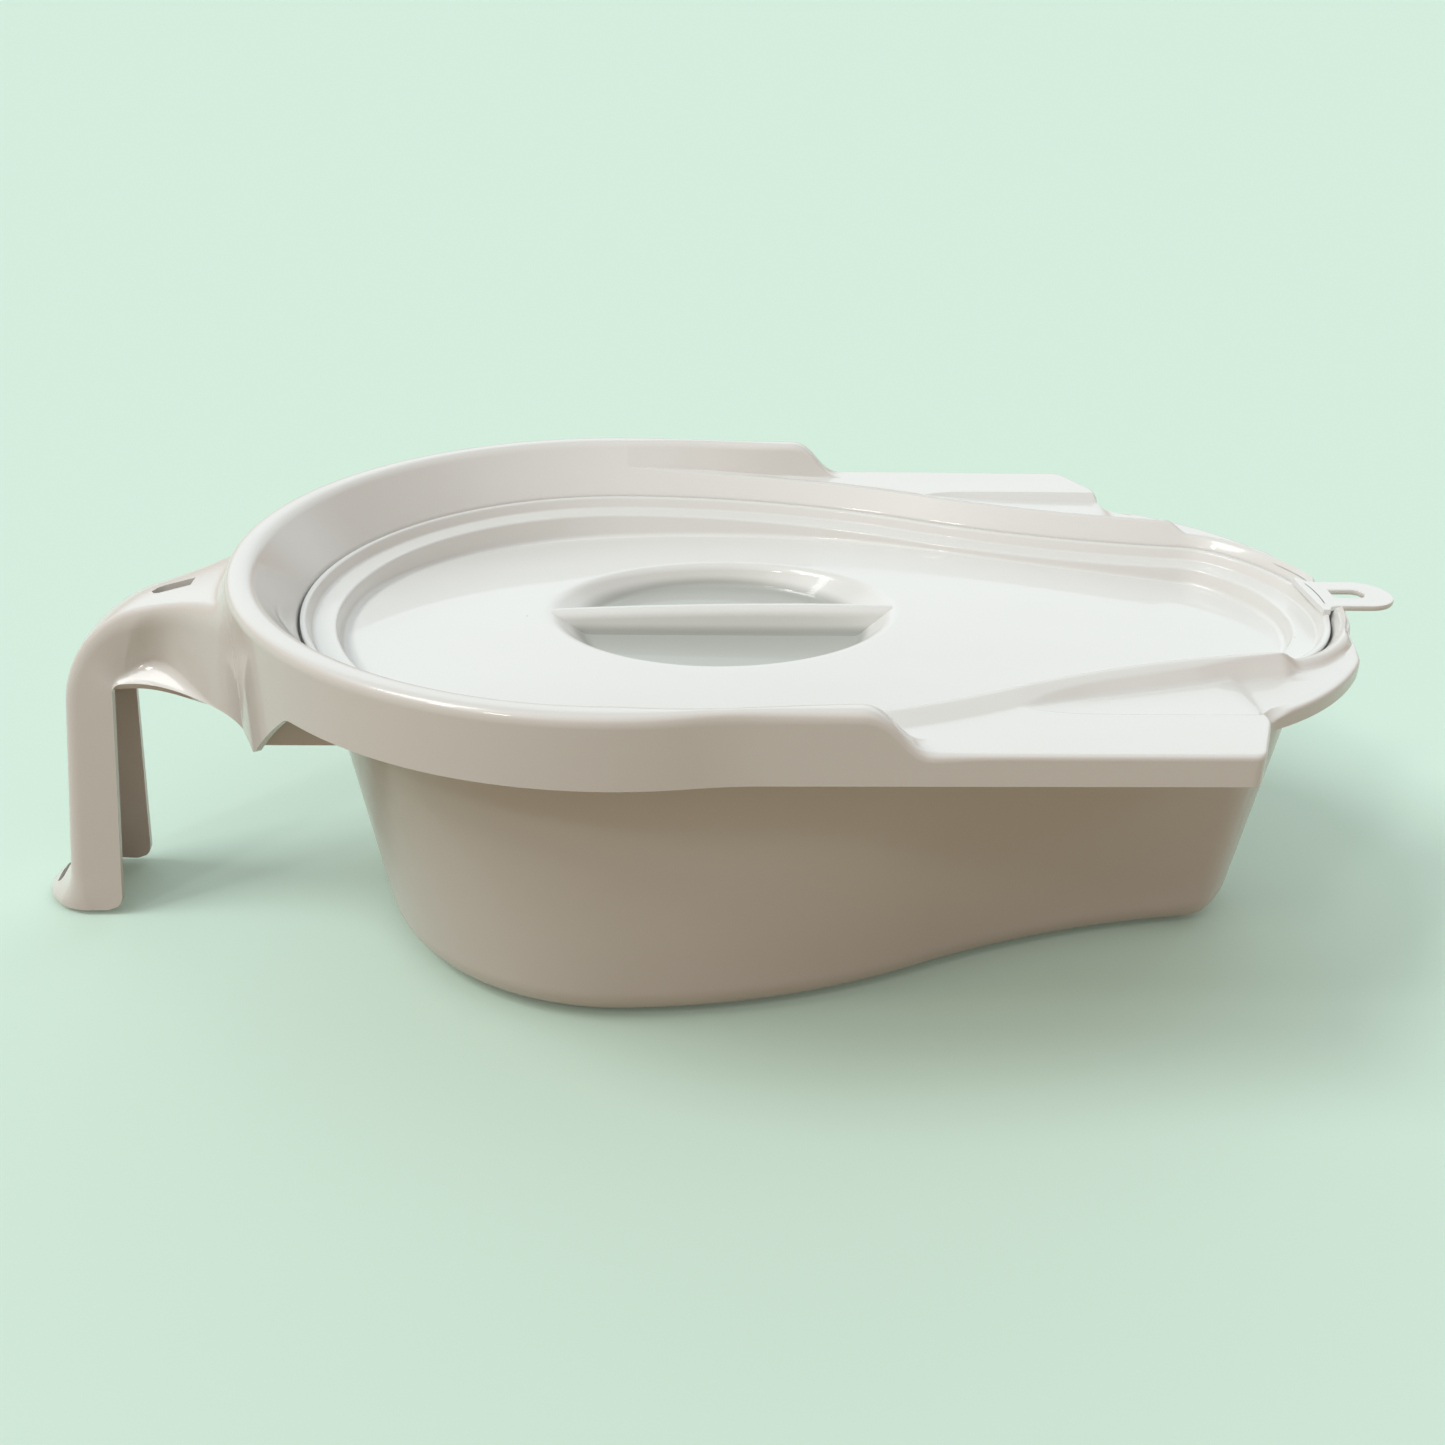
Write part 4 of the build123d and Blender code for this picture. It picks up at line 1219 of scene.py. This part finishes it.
def polypropylene(name, pale, cloudy, roughness, painted_shade=None):
    """Pale moulded plastic between two close colours; the last argument, if given, masks a painted shade."""
    material = bpy.data.materials.new(name)
    recipe = Recipe(material)
    spot = recipe.node("ShaderNodeTexCoord", {}, {}, "Object")
    flow_space = recipe.node("ShaderNodeMapping", {}, {"Vector": spot, "Scale": (0.35, 1, 1)})
    clouds = noise(recipe, flow_space, 28, 4.0)
    peel = noise(recipe, spot, 950, 1.0)
    waves = noise(recipe, spot, 130, 1.0)
    cells = {"Vector": spot, "Scale": 55.0, "Randomness": 1.0}
    near = recipe.node("ShaderNodeTexVoronoi", {}, cells, "Distance")
    luck = recipe.node("ShaderNodeTexVoronoi", {}, cells, "Color")
    luck = recipe.node("ShaderNodeSeparateColor", {}, {"Color": luck}, "Red")
    speck = (near < 0.022) * (luck > 0.93)
    tint = recipe.blend(clouds, pale, cloudy)
    tint = recipe.blend(speck * 0.55, tint, SPECK)
    # Painted shade: where the mask is 1 the colour becomes a darker grey, for the shade that falls in the
    # recess.
    if painted_shade:
        tint = recipe.blend(painted_shade(recipe, spot), tint, RECESS_SHADE_GREY)
    height = peel * 0.35 + waves * 0.65
    bump = recipe.node("ShaderNodeBump", {}, {"Height": height, "Strength": 0.16, "Distance": 0.0004})
    shader = recipe.node("ShaderNodeBsdfPrincipled", {}, {
        "Base Color": tint, "Roughness": roughness + 0.10 * clouds + 0.05 * peel, "Normal": bump,
        "IOR": 1.49, "Coat Weight": 0.6, "Coat Roughness": 0.05})
    recipe.node("ShaderNodeOutputMaterial", {}, {"Surface": shader})
    return material


finishes = {
    "pan": polypropylene("pan_plastic", (0.83, 0.835, 0.82, 1), (0.80, 0.80, 0.78, 1), 0.26),
    # The lid's colour gets the painted shade on the floor of its finger recess.
    "lid": polypropylene("lid_plastic", (0.845, 0.855, 0.84, 1), (0.82, 0.825, 0.81, 1), 0.28, recess_shade_mask),
}
for piece in (pan_shell, pan_handle, lid_panel, lid_fin, lid_tab):
    piece.data.materials.clear()
    piece.data.materials.append(finishes[piece.name.split("_")[0]])
print("finishes", [finish.name for finish in finishes.values()])

# %% [markdown]
# ## Light, floor and camera
# The part stands on a pale green floor in a plain room. The world is that room: warm light from low down, dim
# air above, a window beyond the part and a bright panel overhead, both of which the glossy plastic mirrors.
# Only the camera's own rays see the world as green, like the floor.

# %% The room
world = bpy.data.worlds.new("soft_room")
bpy.context.scene.world = world
room = Recipe(world)
toward = room.node("ShaderNodeTexCoord", {}, {}, "Generated")
across = room.node("ShaderNodeSeparateXYZ", {}, {"Vector": toward}, "Y")
up = room.node("ShaderNodeSeparateXYZ", {}, {"Vector": toward}, "Z")


def ramp(value):
    """The value, kept between 0 and 1."""
    return room.node("ShaderNodeMath", {"operation": "ADD", "use_clamp": True}, {0: value, 1: 0.0})


HORIZON, UPPER_AIR = (0.50, 0.30, 0.165, 1), (0.25, 0.245, 0.235, 1)
WINDOW_LIGHT, PANEL_LIGHT, BACKGROUND = (1.15, 1.25, 1.27, 1), (0.76, 0.79, 0.79, 1), (0.66, 0.84, 0.72, 1)
air = room.blend(ramp(up * 1.4), HORIZON, UPPER_AIR)
window = ramp(across * 4 - 1.6) * ramp(up * 6 - 0.5) * ramp(3.6 - up * 4.5)
air = room.blend(window, air, WINDOW_LIGHT)
panel = ramp((up * 0.94 - across * 0.34) * 5 - 3.3)
air = room.blend(panel, air, PANEL_LIGHT)
looking = room.node("ShaderNodeLightPath", {}, {}, "Is Camera Ray")
air = room.blend(looking, air, BACKGROUND)
air = room.node("ShaderNodeBackground", {}, {"Color": air, "Strength": 1.0})
room.node("ShaderNodeOutputWorld", {}, {"Surface": air})


# %% [markdown]
# A broad lamp, high on the left, gives the part its soft shadows. Two narrow, weak lamps, lower and nearer to
# the camera, put small glints on the bend of the handle and on the rounded edges.

# %% Lamps
def sun(name, strength, colour, spread, tilt, turn):
    """A far lamp, tilted from overhead towards the direction `turn` in the plan."""
    bpy.ops.object.light_add(type="SUN", location=(0, 0, 2))
    lamp = bpy.context.object
    lamp.name, lamp.data.energy, lamp.data.color, lamp.data.angle = name, strength, colour, radians(spread)
    turned = Matrix.Rotation(radians(turn), 4, "Z") @ Matrix.Rotation(radians(tilt), 4, "Y")
    lamp.rotation_euler = turned.to_euler()


sun("ceiling_panel", 1.0, (0.97, 1.0, 0.99), 24, 36, -170)
for k, (tilt, turn) in enumerate(((45, -150), (50, -128))):
    sun("glint_%d" % k, 0.22, (1.0, 0.96, 0.9), 6, tilt, turn)

# %% [markdown]
# The floor is green to the camera and to mirrored rays. To every other ray it is a warm, darker brown, so
# that it bounces little light, and no green, up under the part. It lies just below the foot and the bowl.

# %% The floor
bpy.ops.mesh.primitive_plane_add(size=60, location=(0, 0, -0.0025))
floor = bpy.context.object
floor.name = "floor"
ground = bpy.data.materials.new("floor_paint")
paint = Recipe(ground)
seen = paint.node("ShaderNodeLightPath", {}, {}, "Is Camera Ray")
mirrored = paint.node("ShaderNodeLightPath", {}, {}, "Is Glossy Ray")
through = paint.node("ShaderNodeLightPath", {}, {}, "Is Transmission Ray")
MINT, MINT_GLOW, WARM_BOUNCE = (0.655, 0.835, 0.735, 1), (0.05, 0.064, 0.055, 1), (0.25, 0.175, 0.105, 1)
mint = paint.node("ShaderNodeBsdfDiffuse", {}, {"Color": MINT})
glow = paint.node("ShaderNodeEmission", {}, {"Color": MINT_GLOW, "Strength": 1.0})
mint = paint.node("ShaderNodeAddShader", {}, {0: mint, 1: glow})
warm = paint.node("ShaderNodeBsdfDiffuse", {}, {"Color": WARM_BOUNCE})
shown = paint.node("ShaderNodeMath", {"operation": "MINIMUM"}, {0: seen + mirrored + through, 1: 1.0})
surface = paint.node("ShaderNodeMixShader", {}, {0: shown, 1: warm, 2: mint})
paint.node("ShaderNodeOutputMaterial", {}, {"Surface": surface})
floor.data.materials.append(ground)

# %% [markdown]
# The camera looks down on one long side of the part, a little turned and rolled.

# %% The camera
TURN, DIP, ROLL = -2.761, 26.710, 1.428
bpy.ops.object.camera_add(location=(-0.02105, -0.5961, 0.3795))
camera = bpy.context.object
camera.rotation_euler = (Matrix.Rotation(radians(TURN), 4, "Z") @ Matrix.Rotation(radians(90 - DIP), 4, "X")
                         @ Matrix.Rotation(radians(ROLL), 4, "Z")).to_euler()
camera.data.lens = 39.17
camera.data.sensor_width = 36
camera.data.clip_end = 100
bpy.context.scene.camera = camera
bpy.context.scene.view_settings.view_transform = "Standard"
